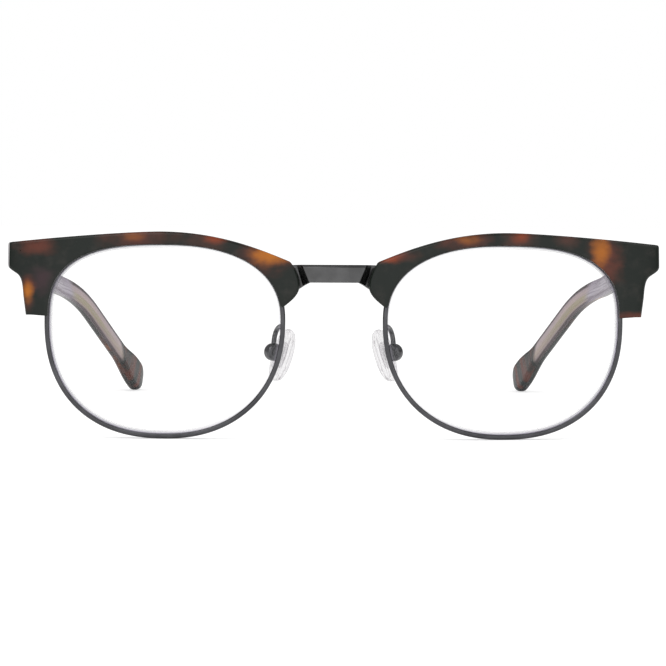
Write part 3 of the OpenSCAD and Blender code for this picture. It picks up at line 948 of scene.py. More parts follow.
@dataclass(frozen=True)
class Lining:
    """Greyed clear acetate that shows the core wire past the bend, and turns dark at the round end."""
    name: str = "lining"
    mauve: tuple = (0.43, 0.385, 0.45)
    streak: tuple = (0.24, 0.20, 0.25)
    blush: tuple = (0.47, 0.37, 0.36)
    olive: tuple = (0.36, 0.31, 0.215)
    border: tuple = (0.055, 0.042, 0.042)
    dark: tuple = (0.022, 0.028, 0.026)
    bend: float = 80.0
    tip: float = 121.0
    waver: float = 12.0
    streaking: Pair = (0.42, 0.66)
    shaft_low: Pair = (-0.55, -0.85)
    blush_span: Pair = (0.0, 0.4)
    fade: Pair = (100, 122)
    olive_span: Pair = (-0.84, -0.22)
    border_top: Pair = (0.3, 0.55)
    border_low: Pair = (-0.86, -0.97)
    tip_patch: Pair = (0.44, 0.6)
    polish_scale: float = 700

    def build(self) -> bpy.types.Material:
        """Makes the material.

        Returns:
            The material.
        """
        shader = Shader(self.name)
        span = shader.attribute("span")
        along, across = shader.axis(0, span), shader.axis(1, span)
        streaks = shader.noise(1.0, 3, (0.05, 4.5, 1.0), span).ramp(*self.streaking)
        waver = (shader.noise(0.16, 3, source=span) - 0.5) * self.waver
        shaft = shader.mix(self.mauve, self.streak, streaks * 0.8)
        shaft = shader.mix(shaft, self.streak, across.ramp(*self.shaft_low) * 0.7)
        grey = (across + waver * 0.05).ramp(*self.blush_span) * 0.4
        face = shader.mix(self.blush, self.mauve, grey)
        fading = 1 - (along + waver).ramp(*self.fade) * 0.6
        face = shader.mix(face, self.olive, across.band(*self.olive_span, 0.14) * fading)
        border = across.ramp(*self.border_top).larger(across.ramp(*self.border_low))
        face = shader.mix(face, self.border, border * 0.9)
        face = shader.mix(face, self.streak, streaks * 0.25)
        past = (along + waver * 0.4 + across * 3).ramp(self.bend - 3, self.bend + 4)
        colour = shader.mix(shaft, face, past)
        patch = shader.noise(0.2, 3, source=span).ramp(*self.tip_patch) * 0.75
        patch = shader.mix(self.dark, Tone.RUST.value, patch)
        tip = (along + waver * 0.5 + across * 3).ramp(self.tip - 1, self.tip + 3)
        shader.set(base_color=shader.mix(colour, patch, tip), specular_ior_level=0.16, coat_weight=0.02,
                   coat_roughness=0.05, roughness=shader.noise(self.polish_scale, 2) * 0.08 + 0.2)
        shader.bump(streaks, 0.01 * MM, 0.1)
        return shader.material


@dataclass(frozen=True)
class Plate:
    """Dark plated metal with fine brush marks."""
    name: str
    tint: tuple
    rough: float = 0.30
    marks: tuple = (0.08, 1.0, 1.0)
    mark_scale: float = 2600
    tone_scale: float = 220
    lighter: float = 1.35

    def build(self) -> bpy.types.Material:
        """Makes the material.

        Returns:
            The material.
        """
        shader = Shader(self.name)
        brush = shader.noise(self.mark_scale, 3, self.marks)
        lighter = tuple(min(1.0, c * self.lighter) for c in self.tint)
        colour = shader.mix(self.tint, lighter, shader.noise(self.tone_scale, 3).ramp(0.35, 0.7))
        shader.set(base_color=colour, metallic=1.0, roughness=brush * 0.16 + (self.rough - 0.08))
        shader.bump(brush, 0.006 * MM, 0.25)
        return shader.material


@dataclass(frozen=True)
class LensGlass:
    """Clear lens with a painted edge reflection, a pale violet band and a grey line, where its edge dips
    into the rim.
    """
    name: str = "lens"
    clear: tuple = (0.95, 0.96, 0.98)
    # Colours of the painted edge reflection, not colours of the lens
    violet: tuple = (0.50, 0.47, 0.56)
    slate: tuple = (0.20, 0.19, 0.23)
    pale: Pair = (1.0, 0.66)
    line: Pair = (0.98, 1.1)
    haze_scale: float = 300

    def build(self) -> bpy.types.Material:
        """Makes the material.

        Returns:
            The material.
        """
        shader = Shader(self.name)
        rim = shader.attribute("rim")
        inward, strength = shader.axis(0, rim), shader.axis(1, rim)
        # Painted edge reflection: the violet band and the grey line stand in for light that the lens edge
        # and the rim reflect
        pale, line = inward.ramp(*self.pale), inward.band(*self.line, 0.06)
        colour = shader.mix(self.clear, self.violet, pale)
        colour = shader.mix(colour, self.slate, line)
        haze = shader.noise(self.haze_scale, 3)
        shader.set(base_color=colour, alpha=(pale * 0.62).larger(line * 0.42) * strength + haze * 0.03,
                   roughness=haze * 0.04 + 0.03, specular_ior_level=0.4)
        shader.bump(haze, 0.01 * MM, 0.05)
        return shader.material


@dataclass(frozen=True)
class PadGel:
    """Soft clear plastic with fine grey and pink streaks along it, which shows by its edges through painted
    shade: darker and less clear where the surface turns from view.
    """
    name: str
    pale: tuple = (0.72, 0.69, 0.72)
    streak: tuple = (0.30, 0.26, 0.29)
    # body: cover face on; rim: cover where the surface turns from view, part of the painted edge shade
    body: float = 0.2
    rim: float = 0.58
    streaking: Pair = (0.52, 0.70)
    streak_alpha: float = 0.36

    def build(self) -> bpy.types.Material:
        """Makes the material.

        Returns:
            The material.
        """
        shader = Shader(self.name)
        facing = shader.get("ShaderNodeLayerWeight", "Facing", None, {"Blend": 0.35})
        span = shader.attribute("span")
        streaks = shader.noise(1.0, 4, (0.12, 2.6, 2.6), span).ramp(*self.streaking)
        # Painted edge shade: towards the outline the pad turns to the grey streak colour and less clear,
        # standing in for the shade that refraction gives a clear pad's edges
        side = facing.power(2.2)
        shader.set(base_color=shader.mix(self.pale, self.streak, streaks.larger(side * 0.5)),
                   alpha=side * (self.rim - self.body) + self.body + streaks * self.streak_alpha,
                   roughness=streaks * 0.1 + 0.08, specular_ior_level=0.4)
        shader.bump(streaks, 0.02 * MM, 0.15)
        return shader.material


class Finishes:
    """All materials of the glasses, each made once."""

    def __init__(self) -> None:
        """Makes the materials."""
        # The front's finish has a painted highlight on the side of the left end piece
        self.brow = Tortoise("tortoise_front", CLOUDS, bevel=0.45 * MM - front.end_x).build()
        self.temple = Tortoise("tortoise_temple", scattered=0.5).build()
        self.lining = Lining().build()
        self.metal = Plate("gunmetal", (0.108, 0.108, 0.113)).build()
        self.bridge = Plate("bridge_plate", (0.112, 0.112, 0.113)).build()
        self.rim = Plate("rim_plate", (0.1, 0.1, 0.106), 0.17).build()
        self.core = Plate("core_wire", (0.55, 0.46, 0.33), 0.35).build()
        self.lens = LensGlass().build()
        self.pad = PadGel("pad").build()

    def carried(self) -> dict[str, bpy.types.Material]:
        """Materials of the record's slots, for nodes that stay as they are."""
        return {"tortoise": self.temple, "lining": self.lining, "gunmetal": self.metal,
                "core_wire": self.core, "lens": self.lens, "pad": self.pad}


def dressed(obj: bpy.types.Object, material: bpy.types.Material, body: str, node: str) -> None:
    """Gives a new piece its finish, its body and the node that it stands for.

    Args:
        obj: The piece.
        material: Its material.
        body: The body that it rides on.
        node: Node that it replaces.
    """
    obj.data.materials.clear()
    obj.data.materials.append(material)
    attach(obj, body)
    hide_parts(node)
    log.info("%s: %d faces, stands for %s", obj.name, len(obj.data.polygons), node)


# Pieces of the front


@dataclass
class Brow:
    """Tortoise bar with a lip over the rim, a nose lobe, an end piece and a lower end."""
    side: Side
    cover: float = 0.3 * MM
    face_r: float = 0.6 * MM
    end_r: float = 0.2 * MM
    inner_r: float = 0.25 * MM
    back_r: float = 0.45 * MM
    foot_r: float = 0.12 * MM
    spans: int = 5
    crease: float = 35.0
    end_soft: float = 0.4 * MM
    block_x: float = 59.8 * MM
    block_soft: float = 1.4 * MM
    back_soft: float = 1.2 * MM
    cover_soft: float = 1.5 * MM
    lock_out: float = 1.3 * MM
    lock_up: float = 5.2 * MM
    lock_low: float = 3.2 * MM
    lock_high: float = 2.7 * MM
    lock_wide: float = 1.4 * MM
    lock_in: float = 1 * MM
    leaf_in: float = 5.45 * MM
    leaf_past: float = 1.45 * MM
    arm_in: float = 4 * MM
    arm_low: float = 2 * MM
    arm_play: float = 0.2 * MM
    past: float = 30 * MM

    def back(self, p: Pair, share: float) -> float:
        """Finds the back of the brow.

        Args:
            p: Front view place.
            share: 0 where the brow is a lip only, and 1 where it has its whole thickness.

        Returns:
            The depth y.
        """
        sheet = front.lens.depth(p, lerp(front.lip_out, front.back_out, share))
        thick = eased((p[0] - self.block_x) / self.block_soft + 0.5)
        return lerp(sheet, max(sheet, front.butt_y(p[1])), thick * share)

    def ring(self, p: Pair, n: Pair) -> list[Vector]:
        """Draws the section of the brow at one point of its outline.

        Args:
            p: The outline point.
            n: Its outward normal.

        Returns:
            The points of the section.
        """
        lens = front.lens
        angle = lens.bearing(p)
        width = max(0.02 * MM, math.dist(p, lens.edge(angle)))
        wider = self.end_r * eased((p[0] - front.end_x) / self.end_soft + 1)
        r = min(self.face_r + wider, 0.35 * width)
        inner = min(self.inner_r, 0.2 * width)
        seat = min(lens.wall + front.fit, 0.6 * width)
        share = eased((width - lens.wall) / self.back_soft)
        back_r = min(self.back_r, 0.2 * width)
        cover = self.cover * eased(width / self.cover_soft)
        ring = [self.side.sheet(lens.edge_out(angle, -cover), front.lip_out)]
        for a, b in quarter(inner, 90, 3)[::-1]:
            ring.append(self.side.sheet(lens.edge_out(angle, inner - cover + a), front.face_out - inner + b))
        start, stop = lens.edge_out(angle, inner - cover), offset(p, n, -r)
        for i in range(1, self.spans):
            ring.append(self.side.sheet(between(start, stop, i / self.spans), front.face_out))
        for a, b in quarter(r, 0, 4)[::-1]:
            ring.append(self.side.sheet(offset(p, n, a - r), front.face_out - r + b))
        for a, b in quarter(back_r, -90, 3)[::-1]:
            q = offset(p, n, a - back_r)
            ring.append(self.side.place(q, self.back(q, share) - back_r - b))
        start, stop = offset(p, n, -back_r), lens.edge_out(angle, seat)
        for i in range(1, 2 * self.spans + 1):
            q = between(start, stop, i / (2 * self.spans))
            ring.append(self.side.place(q, self.back(q, share)))
        return ring + [self.side.sheet(stop, front.lip_out)]

    def cutters(self) -> list[bpy.types.Object]:
        """Makes the boxes that give room to the rim lock, the hinge leaf and the bridge arm.

        Returns:
            The three boxes.
        """
        shift = self.side.mirror() @ Matrix.Translation((0, -HALF, 0))
        lens, shape = front.lens, front.temple
        lock = (lens.outer_x + lens.wall + self.lock_out, lens.centre[1] + self.lock_up)
        lip = lens.depth(lock, front.lip_out)
        room = block((lens.outer_x - self.lock_in, lip, lock[1] - self.lock_low),
                     (lock[0] + self.lock_wide, self.past, lock[1] + self.lock_high), shift)
        leaf = block((-self.leaf_in, -shape.stand - shape.leaf_sink, -shape.leaf_half),
                     (self.leaf_past, self.past, shape.leaf_half), front.hinge_place(self.side))
        high = front.bridge_low + front.bridge_h + self.arm_play
        arm = block((self.arm_in, front.arm_y - front.fit, front.bridge_low - self.arm_low),
                    (lens.inner_x + self.arm_play, self.past, high), shift)
        return [room, leaf, arm]

    def build(self, finishes: Finishes) -> None:
        """Makes the brow and puts it in place of its node.

        Args:
            finishes: Materials of the glasses.
        """
        path = front.brow_path()
        bm = cleaned(swept([self.ring(p, n) for p, n in zip(path, normals(path))]))
        ends = [f for f in bm.faces if len(f.verts) > 4]    # only the two end sections
        rounded(bm, {e for f in ends for e in f.edges}, self.foot_r, 2)
        obj = finished(bm, f"brow_bar_{self.side.tag}", self.crease)
        carved(obj, self.cutters(), self.crease)
        dressed(obj, finishes.brow, "front", f"brow_{self.side.tag}")


@dataclass
class Rim:
    """Rim wire round a lens, with rounded outer edges and a groove for the lens."""
    side: Side
    edge_r: float = 0.36 * MM
    inner_r: float = 0.26 * MM
    lock_h: float = 5.2 * MM
    deep: float = 0.45 * MM
    split: float = 0.02
    steps: int = 180

    def section(self) -> Path:
        """Draws the wire's section.

        Returns:
            The points as (distance outside the lens edge, distance in front of the lens middle).
        """
        lens = front.lens
        out, half, deep = lens.wall, lens.rim_depth / 2, self.deep
        r, q = self.edge_r, self.inner_r
        points = [(out - r + a, half - r + b) for a, b in quarter(r, 0, 4)]
        points += [(-lens.groove + q + a, half - q + b) for a, b in quarter(q, 90, 3)]
        points += [(-lens.groove, deep), (0, deep), (0, -deep), (-lens.groove, -deep)]
        points += [(-lens.groove + q + a, -half + q + b) for a, b in quarter(q, 180, 3)]
        return points + [(out - r + a, -half + r + b) for a, b in quarter(r, 270, 4)]

    def build(self, finishes: Finishes) -> None:
        """Makes the rim and puts it in place of its node.

        Args:
            finishes: Materials of the glasses.
        """
        lens = front.lens
        start = math.degrees(math.atan2(self.lock_h, lens.width / 2)) + self.split
        rings = []
        for i in range(self.steps + 1):
            angle = start + (360 - 2 * self.split) * i / self.steps
            places = [(lens.edge_out(angle, d), o) for d, o in self.section()]
            rings.append([self.side.sheet(q, o) for q, o in places])
        obj = finished(swept(rings), f"rim_wire_{self.side.tag}", 50)
        dressed(obj, finishes.rim, "front", f"eyewire_{self.side.tag}")


@dataclass
class ClearLens:
    """Curved lens with a thin bevelled edge that sits in the rim's groove."""
    side: Side
    steps: int = 120
    edge_half: float = 0.4 * MM
    play: float = 0.05 * MM
    # Strength of the painted edge reflection line round the lens
    line: Pair = (0.22, 0.9)
    line_turn: float = 22.0
    shares: tuple = (0.02, 0.2, 0.4, 0.6, 0.75, 0.86, 0.93, 0.962, 0.975, 0.984, 0.992)

    @property
    def inside(self) -> float:
        """Place of the visible edge outside the lens edge, just within the rim."""
        return -front.lens.groove - self.play

    def ring(self, share: float, d: float, out: float) -> list[Vector]:
        """Draws one ring of the lens.

        Args:
            share: Share of the way out from the middle.
            d: Distance outside the lens edge of the ring at share 1.
            out: Distance in front of the lens middle.

        Returns:
            The points of the ring.
        """
        lens = front.lens
        edge = [lens.edge_out(360 * i / self.steps, d) for i in range(self.steps)]
        return [self.side.sheet(between(lens.centre, p, share), out) for p in edge]

    def rim_note(self, point: Vector) -> tuple:
        """Measures a point of the lens for the painted edge reflection of its finish.

        Args:
            point: The point.

        Returns:
            (distance from the lens edge in millimetres, strength of the painted edge reflection line, 0).
        """
        lens, local = front.lens, self.side.local(point)
        place = (local.x, local.z)
        angle = lens.bearing(place)
        inward = math.dist(lens.edge(angle), lens.centre) - math.dist(place, lens.centre)
        # The painted edge reflection is strongest on the lower temple side of the lens and faintest opposite
        # it
        temple = eased(0.5 + 0.8 * math.cos(math.radians(angle + self.line_turn)))
        return (inward / MM, lerp(*self.line, temple), 0.0)

    def build(self, finishes: Finishes) -> None:
        """Makes the lens and puts it in place of its node.

        Args:
            finishes: Materials of the glasses.
        """
        half, deep, seat = front.lens.thick / 2, self.edge_half, -self.play
        rings = [self.ring(share, self.inside, half) for share in self.shares]
        rings += [self.ring(1, self.inside, half), self.ring(1, seat, deep)]
        rings += [self.ring(1, seat, -deep), self.ring(1, self.inside, -half)]
        rings += [self.ring(share, self.inside, -half) for share in reversed(self.shares)]
        obj = finished(swept(rings), f"clear_lens_{self.side.tag}", 30)
        noted(obj, "rim", self.rim_note)
        dressed(obj, finishes.lens, "front", f"lens_{self.side.tag}")


@dataclass
class Bridge:
    """Plate between the brows with slanted ends, steep facets beside it and arms behind the nose lobes."""
    top_x: float = 6.85 * MM
    low_x: float = 5.3 * MM
    arm_x: float = 10.7 * MM
    chamfer: float = 0.6 * MM
    edge_r: float = 0.1 * MM
    fall: float = 3.6 * MM
    crest: float = 0.55 * MM
    back_in: float = 0.3 * MM
    crease: float = 16.0

    def section(self, top: Pair, low: Pair, thick: float) -> list[Vector]:
        """Draws the section of the bridge at one station.

        Args:
            top: (x, y) of the front at the upper edge.
            low: (x, y) of the front at the lower edge.
            thick: Thickness from front to back.

        Returns:
            The points of the section.
        """
        share = max(0.0, (low[0] - self.low_x) / (self.arm_x - self.low_x))
        low_z = front.bridge_low - self.fall * share ** 1.1
        top_z = front.bridge_low + front.bridge_h - 0.05 * max(0.0, top[0] - self.top_x)
        edge = (top_z - self.chamfer - low_z) / (top_z - low_z)
        crest = between(low, top, edge)
        points = [(low, low_z), (crest, top_z - self.chamfer), ((top[0], top[1] + self.crest), top_z),
                  ((top[0] - self.back_in, top[1] + thick), top_z),
                  ((low[0] - self.back_in, low[1] + thick), low_z)]
        return [Vector((x, y - HALF, z)) for (x, y), z in points]

    def build(self, finishes: Finishes) -> None:
        """Makes the bridge and puts it in place of its node.

        Args:
            finishes: Materials of the glasses.
        """
        flat, arm, thick = self.low_x, front.arm_y, front.bridge_t
        end, sunk = self.top_x, arm + self.back_in
        # Stations from the plate's end back to the arm
        half = [self.section((end, 0.0), (flat, 0.0), thick),
                self.section((end + 0.35 * MM, 0.45 * arm), (flat + 0.9 * MM, 0.62 * arm), thick),
                self.section((end + 1.2 * MM, 0.8 * arm), (flat + 1.35 * MM, arm), thick),
                self.section((end + 2.2 * MM, arm), (flat + 3 * MM, arm), thick),
                self.section((self.arm_x, sunk), (self.arm_x, sunk), thick - self.back_in)]
        rings = [[Side.LEFT.mirror() @ p for p in ring] for ring in reversed(half)] + half
        bm = cleaned(swept(rings))
        rounded(bm, sharp_edges(bm, 20), self.edge_r, 2)
        obj = finished(bm, "bridge_plate", self.crease)
        dressed(obj, finishes.bridge, "front", "bridge")


# Temples and nose pads


@dataclass
class Arm:
    """One temple's two layers, rounded as one polished piece."""
    side: Side
    edge_r: float = 1.15 * MM
    butt_r: float = 0.35 * MM
    butt_inset: float = 0.4 * MM
    butt_step: float = 0.25 * MM
    soft_after: float = 18 * MM
    step: float = 2.5 * MM
    bend_steps: int = 40
    slim_tip: float = 0.92
    end_power: float = 0.35
    end_turns: tuple = (12, 24, 36, 48, 58, 67, 75, 81, 86)
    crease: float = 45.0
    pocket: Pair = (-12 * MM, 9.85 * MM)

    def point(self, s: float, d: float, h: float, ahead: float = 0.0) -> Vector:
        """Finds a point of the temple.

        Args:
            s: Length along the centre line.
            d: Depth from the inner face outwards.
            h: Height over the centre line.
            ahead: Distance past the centre line's end, along it.

        Returns:
            The point in the frame.
        """
        shape = front.temple
        a = shape.angle(s)
        y, z = shape.centre(s)
        y += h * math.sin(a) + ahead * math.cos(a)
        z += h * math.cos(a) - ahead * math.sin(a)
        return front.hinge_place(self.side) @ Vector((shape.inner_x(y) + d, y, z))

    def span_note(self, point: Vector) -> tuple:
        """Measures a point of the temple for its finish.

        Args:
            point: The point.

        Returns:
            (length in millimetres, height from -1 to 1, depth in millimetres).
        """
        shape = front.temple
        local = front.hinge_place(self.side).inverted() @ point
        s, h = shape.found(local.y, local.z)
        return (s / MM, 2 * h / shape.height(s), (local.x - shape.inner_x(local.y)) / MM)

    def section(self, low: float, high: float, tall: float, slim: float, r: float) -> Path:
        """Draws one layer's section.

        Args:
            low: Depth at which the layer starts.
            high: Depth at which it ends.
            tall: Height of the temple there.
            slim: Share of the thickness that is left near the round end.
            r: Rounding of the outer edges.

        Returns:
            The points as (depth, height).
        """
        thick = front.temple.thick
        inset = thick * (1 - slim) / 2
        r = min(r, 0.45 * tall, 0.9 * front.temple.lining)
        half = tall / 2
        if low == 0.0:
            a, b = inset, high
            points = [(b, half)] + [(a + r + x, half - r + y) for x, y in quarter(r, 90, 5)]
            return points + [(a + r + x, -half + r + y) for x, y in quarter(r, 180, 5)] + [(b, -half)]
        a, b = low, thick - inset
        points = [(b - r + x, half - r + y) for x, y in quarter(r, 0, 5)] + [(a, half), (a, -half)]
        return points + [(b - r + x, -half + r + y) for x, y in quarter(r, 270, 5)]

    def layer(self, low: float, high: float) -> bmesh.types.BMesh:
        """Draws one layer of the temple.

        Args:
            low: Depth at which the layer starts.
            high: Depth at which it ends.

        Returns:
            The mesh.
        """
        shape = front.temple
        butt, end = front.fit - shape.stand, shape.length
        count = int(shape.shaft / self.step)
        stations = [butt, butt + self.butt_step] + [i * self.step for i in range(1, count + 1)]
        stations += [lerp(shape.shaft, end, i / self.bend_steps) for i in range(1, self.bend_steps + 1)]
        rings = []
        for s in stations:
            r = lerp(self.butt_r, self.edge_r, eased(s / self.soft_after))
            slim = lerp(1.0, self.slim_tip, eased((s - end + shape.swell) / shape.swell))
            tall = shape.height(s) - (self.butt_inset if s == butt else 0.0)
            rings.append([self.point(s, d, h) for d, h in self.section(low, high, tall, slim, r)])
        for turn in self.end_turns:
            a = math.radians(turn)
            tall = shape.height_tip * math.cos(a)
            slim = self.slim_tip * math.cos(a) ** self.end_power
            ahead = shape.height_tip / 2 * math.sin(a)
            section = self.section(low, high, tall, slim, self.edge_r)
            rings.append([self.point(end, d, h, ahead) for d, h in section])
        return swept(rings)

    def build(self, finishes: Finishes) -> None:
        """Makes both layers and puts them in place of their nodes.

        Args:
            finishes: Materials of the glasses.
        """
        shape = front.temple
        tag = self.side.tag
        outer = finished(self.layer(shape.lining, shape.thick), f"temple_arm_{tag}", self.crease)
        inner = finished(self.layer(0.0, shape.lining), f"temple_lining_{tag}", self.crease)
        low = (0, self.pocket[0], -shape.leaf_half)
        high = (shape.stand + shape.leaf_sink, self.pocket[1], shape.leaf_half)
        carved(inner, [block(low, high, front.hinge_place(self.side))], self.crease)
        noted(inner, "span", self.span_note)
        dressed(outer, finishes.temple, f"temple_{tag}", f"temple_{tag}")
        dressed(inner, finishes.lining, f"temple_{tag}", f"lining_{tag}")


@dataclass
class NosePad:
    """Soft clear pad: flat on the back, rounded at the edge and crowned towards the nose."""
    side: Side
    tall: float = 11.8 * MM
    wide: float = 7.2 * MM
    thick: float = 2 * MM
    power: float = 0.85
    back: float = 1.548 * MM
    steps: int = 48
    crease: float = 60.0
    profile: tuple = ((0.05, 0.0), (0.6, 0.0), (0.88, 0.02), (0.96, 0.12), (1.0, 0.32), (0.99, 0.5),
                      (0.95, 0.68), (0.87, 0.83), (0.72, 0.93), (0.45, 0.99), (0.05, 1.0))

    def ring(self, share: float, x: float) -> list[Vector]:
        """Draws one oval of the pad.

        Args:
            share: Share of the pad's size.
            x: Distance from the back towards the nose.

        Returns:
            The points of the oval.
        """
        place = front.pad_place(self.side)
        out = []
        for i in range(self.steps):
            a = 2 * math.pi * i / self.steps
            c, s = math.cos(a), math.sin(a)
            y = self.wide / 2 * math.copysign(abs(c) ** self.power, c) * share
            z = self.tall / 2 * math.copysign(abs(s) ** self.power, s) * share
            out.append(place @ Vector((-self.back - x, y, z)))
        return out

    def span_note(self, point: Vector) -> tuple:
        """Returns (height, width, depth) of a point in the pad, in millimetres."""
        local = front.pad_place(self.side).inverted() @ point
        return (local.z / MM, local.y / MM, local.x / MM)

    def build(self, finishes: Finishes) -> None:
        """Makes the pad and puts it in place of its node.

        Args:
            finishes: Materials of the glasses.
        """
        rings = [self.ring(share, x * self.thick) for share, x in self.profile]
        obj = finished(swept(rings), f"clear_pad_{self.side.tag}", self.crease)
        noted(obj, "span", self.span_note)
        dressed(obj, finishes.pad, f"pad_{self.side.tag}", f"nose_pad_{self.side.tag}")


@dataclass
class PadMount:
    """Bent wire from the rim and the round box that holds the nose pad."""
    side: Side
    wire: float = 1.1 * MM
    box_w: float = 2.7 * MM
    mouth: float = 1.1 * MM
    slot_w: float = 1.5 * MM
    slot_d: float = 2.7 * MM
    tilt: float = math.radians(15)
    root_down: float = 1.2 * MM
    root_in: float = 0.1 * MM
    sag: float = 1 * MM
    lift: float = 3.4 * MM
    sink: float = 0.3 * MM
    sides: int = 16
    edge_r: float = 0.8 * MM
    crease: float = 50.0

    def path(self) -> list[Vector]:
        """Draws the line of the wire.

        Returns:
            The points, from the back of the rim to the box.
        """
        lens = front.lens
        place = front.pad_place(self.side)
        start = (lens.inner_x, lens.centre[1] - self.root_down)
        root = self.side.place(start, lens.depth(start, -lens.rim_depth / 2) - self.root_in)
        bend = self.side.place(moved(start, 0.8, 0.1), front.pad_pivot[1] - self.sag)
        rise = Vector((math.sin(self.tilt), 0, math.cos(self.tilt)))
        seat = front.pad_box_d / 2 - self.sink
        points = bezier(root, bend, place @ (rise * (seat + self.lift)), place @ (rise * seat), 24)
        return [Vector(p) for p in points] + [place @ (rise * seat)]

    def rings(self) -> list[list[Vector]]:
        """Draws the wire's round sections, turned with its path and not twisted.

        Returns:
            The rings, from the rim to the box.
        """
        path = self.path()
        ring = [Vector((*p, 0)) for p in self.circle()]
        heading, turn = Vector((0, 0, 1)), Matrix.Identity(3)
        rings = []
        for i, point in enumerate(path):
            ahead = (path[min(i + 1, len(path) - 1)] - path[max(0, i - 1)]).normalized()
            turn = heading.rotation_difference(ahead).to_matrix() @ turn
            heading = ahead
            rings.append([point + turn @ p for p in ring])
        return rings

    def circle(self) -> Path:
        """Returns the wire's round section."""
        angles = [2 * math.pi * i / self.sides for i in range(self.sides)]
        return [(self.wire / 2 * math.cos(a), self.wire / 2 * math.sin(a)) for a in angles]

    def build(self, finishes: Finishes) -> None:
        """Makes the wire and the box and puts them in place of their nodes.

        Args:
            finishes: Materials of the glasses.
        """
        place = front.pad_place(self.side)
        wire = finished(swept(self.rings()), f"pad_wire_{self.side.tag}", self.crease)
        dressed(wire, finishes.metal, "front", f"pad_arm_{self.side.tag}")
        bm = bmesh.new()
        r = front.pad_box_d / 2
        bmesh.ops.create_cone(bm, cap_ends=True, segments=48, radius1=r, radius2=r, depth=self.box_w)
        rounded(bm, sharp_edges(bm, 60), self.edge_r, 6)
        bmesh.ops.transform(bm, matrix=place @ Matrix.Rotation(math.pi / 2, 4, "X"), verts=bm.verts)
        box = finished(bm, f"pad_holder_{self.side.tag}", self.crease)
        half, slot = self.slot_w / 2, self.slot_d / 2
        mouth = block((-2 * r, -2 * r, -2 * r), (-self.mouth, 2 * r, 2 * r), place)
        room = block((-2 * r, -half, -slot), (slot, half, slot), place)
        carved(box, [mouth, room], self.crease)
        dressed(box, finishes.metal, "front", f"pad_box_{self.side.tag}")


def dress_nodes(finishes: Finishes, replaced: set[str]) -> None:
    """Gives every node that stays its finish.

    Args:
        finishes: Materials of the glasses.
        replaced: Names of the nodes that pieces stand for.
    """
    slots = {part["node"]: part["material_slot"] for part in frame["record"]["subparts"]}
    materials = finishes.carried()
    for name, obj in frame["nodes"].items():
        if name in replaced:
            continue
        material = materials[slots[name]]
        if not obj.material_slots:
            obj.data.materials.append(material)
        for place in obj.material_slots:
            place.link = "OBJECT"
            place.material = material
        log.info("%s keeps its solid, finish %s", name, material.name)


# Studio


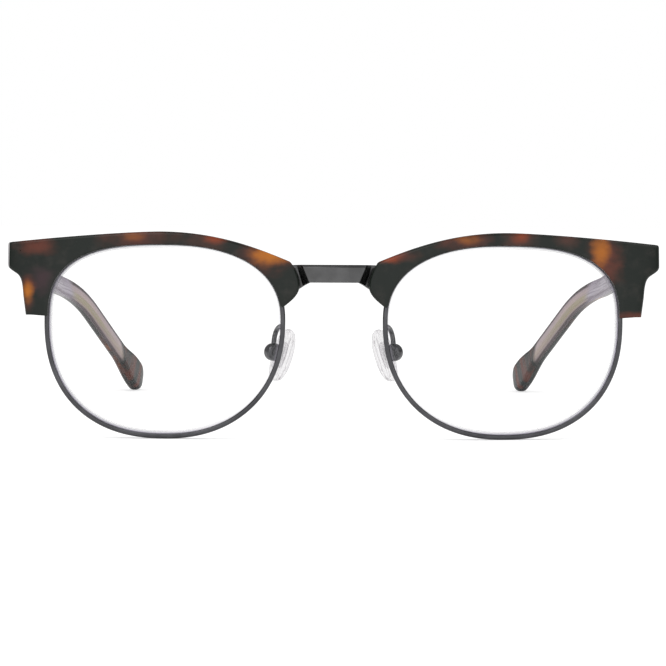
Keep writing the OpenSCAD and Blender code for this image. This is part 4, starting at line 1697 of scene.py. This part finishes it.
@dataclass
class Studio:
    """White table and plain soft light, with dark flags beside the front that show in polished edges."""
    white: float = 1.0
    sky: float = 0.9
    flag: float = 0.2
    top: float = 0.16
    table_glow: float = 0.42
    span: float = 528 * MM
    eye_z: float = 49.28 * MM
    azimuth: float = math.radians(0.6)
    roll: float = math.radians(0.28)
    focal: float = 2471.0
    picture: float = 666.0
    horizon: float = 210.1
    middle: float = 334.7
    lamp_size: float = 0.9
    table_size: float = 6
    table_gap: float = 0.02 * MM
    table_colour: tuple = (0.75, 0.75, 0.75)

    def world(self) -> None:
        """Makes the light from all round."""
        world = bpy.data.worlds.new("studio")
        bpy.context.scene.world = world
        world.use_nodes = True
        nodes = Nodes(world.node_tree)
        heading = nodes.get("ShaderNodeTexCoord", "Generated")
        y, z = (nodes.get("ShaderNodeSeparateXYZ", axis, None, {0: heading}) for axis in (1, 2))
        bright = y.ramp(-0.4, -0.92).larger(z.ramp(0.5, 0.9) * self.top)
        glossy = nodes.get("ShaderNodeLightPath", "Is Glossy Ray")
        plain = nodes.seen() * (self.white - self.sky) + self.sky
        mirrored = bright * (1 - self.flag) + self.flag
        back = world.node_tree.nodes["Background"]
        back.inputs["Color"].default_value = (1, 1, 1, 1)
        nodes.feed(back.inputs["Strength"], plain * (1 - glossy) + mirrored * glossy)

    def table(self) -> None:
        """Makes the table that the glasses stand on."""
        bm = bmesh.new()
        place = Matrix.Translation((0, 0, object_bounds()[0][2] - self.table_gap))
        bmesh.ops.create_grid(bm, x_segments=1, y_segments=1, size=self.table_size, matrix=place)
        obj = finished(bm, "table")
        shader = Shader("table")
        shader.set(base_color=self.table_colour, roughness=0.9, specular_ior_level=0.0,
                   emission_color=(1.0, 1.0, 1.0), emission_strength=shader.seen() * self.table_glow)
        obj.data.materials.append(shader.material)
        obj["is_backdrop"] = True

    def lamp(self, name: str, place: Sequence[float], power: float) -> None:
        """Adds a square soft light that faces the glasses.

        Args:
            name: Name of the lamp.
            place: Its place in metres.
            power: Power in watts.
        """
        data = bpy.data.lights.new(name, "AREA")
        data.size = self.lamp_size
        data.energy = power
        lamp = bpy.data.objects.new(name, data)
        lamp.location = place
        lamp.rotation_euler = (Vector((0, 0, 0.02)) - Vector(place)).to_track_quat("-Z", "Y").to_euler()
        bpy.context.scene.collection.objects.link(lamp)

    def camera(self) -> None:
        """Adds the camera at the photograph's place: level, a little to the left, with a shifted lens."""
        data = bpy.data.cameras.new("camera")
        data.sensor_width = 36
        data.lens = self.focal / self.picture * data.sensor_width
        data.shift_x = (self.picture / 2 - self.middle) / self.picture
        data.shift_y = (self.horizon - self.picture / 2) / self.picture
        camera = bpy.data.objects.new("camera", data)
        back = self.span * math.cos(self.azimuth)
        camera.location = (-self.span * math.sin(self.azimuth), -HALF - back, self.eye_z)
        turn = Matrix.Rotation(-self.azimuth, 3, "Z") @ Matrix.Rotation(math.pi / 2, 3, "X")
        camera.rotation_euler = (turn @ Matrix.Rotation(self.roll, 3, "Z")).to_euler()
        bpy.context.scene.collection.objects.link(camera)
        bpy.context.scene.camera = camera

    def build(self) -> None:
        """Makes the whole studio."""
        self.world()
        self.table()
        self.lamp("key", (-0.5, -0.7, 1.1), 3.0)
        self.lamp("fill", (0.8, -0.3, 0.9), 1.5)
        self.camera()
        bpy.context.scene.view_settings.view_transform = "Standard"


def main() -> None:
    """Builds the dressed glasses and their studio."""
    logging.basicConfig(level=logging.INFO, format="%(name)s: %(message)s")
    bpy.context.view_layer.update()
    finishes = Finishes()
    replaced = {"bridge"}
    for side in Side:
        for piece in (Brow, Rim, ClearLens, Arm, NosePad, PadMount):
            piece(side).build(finishes)
        names = ("brow", "eyewire", "lens", "temple", "lining", "nose_pad", "pad_arm", "pad_box")
        replaced |= {f"{name}_{side.tag}" for name in names}
    Bridge().build(finishes)
    dress_nodes(finishes, replaced)
    Studio().build()


if __name__ == "__main__":
    main()
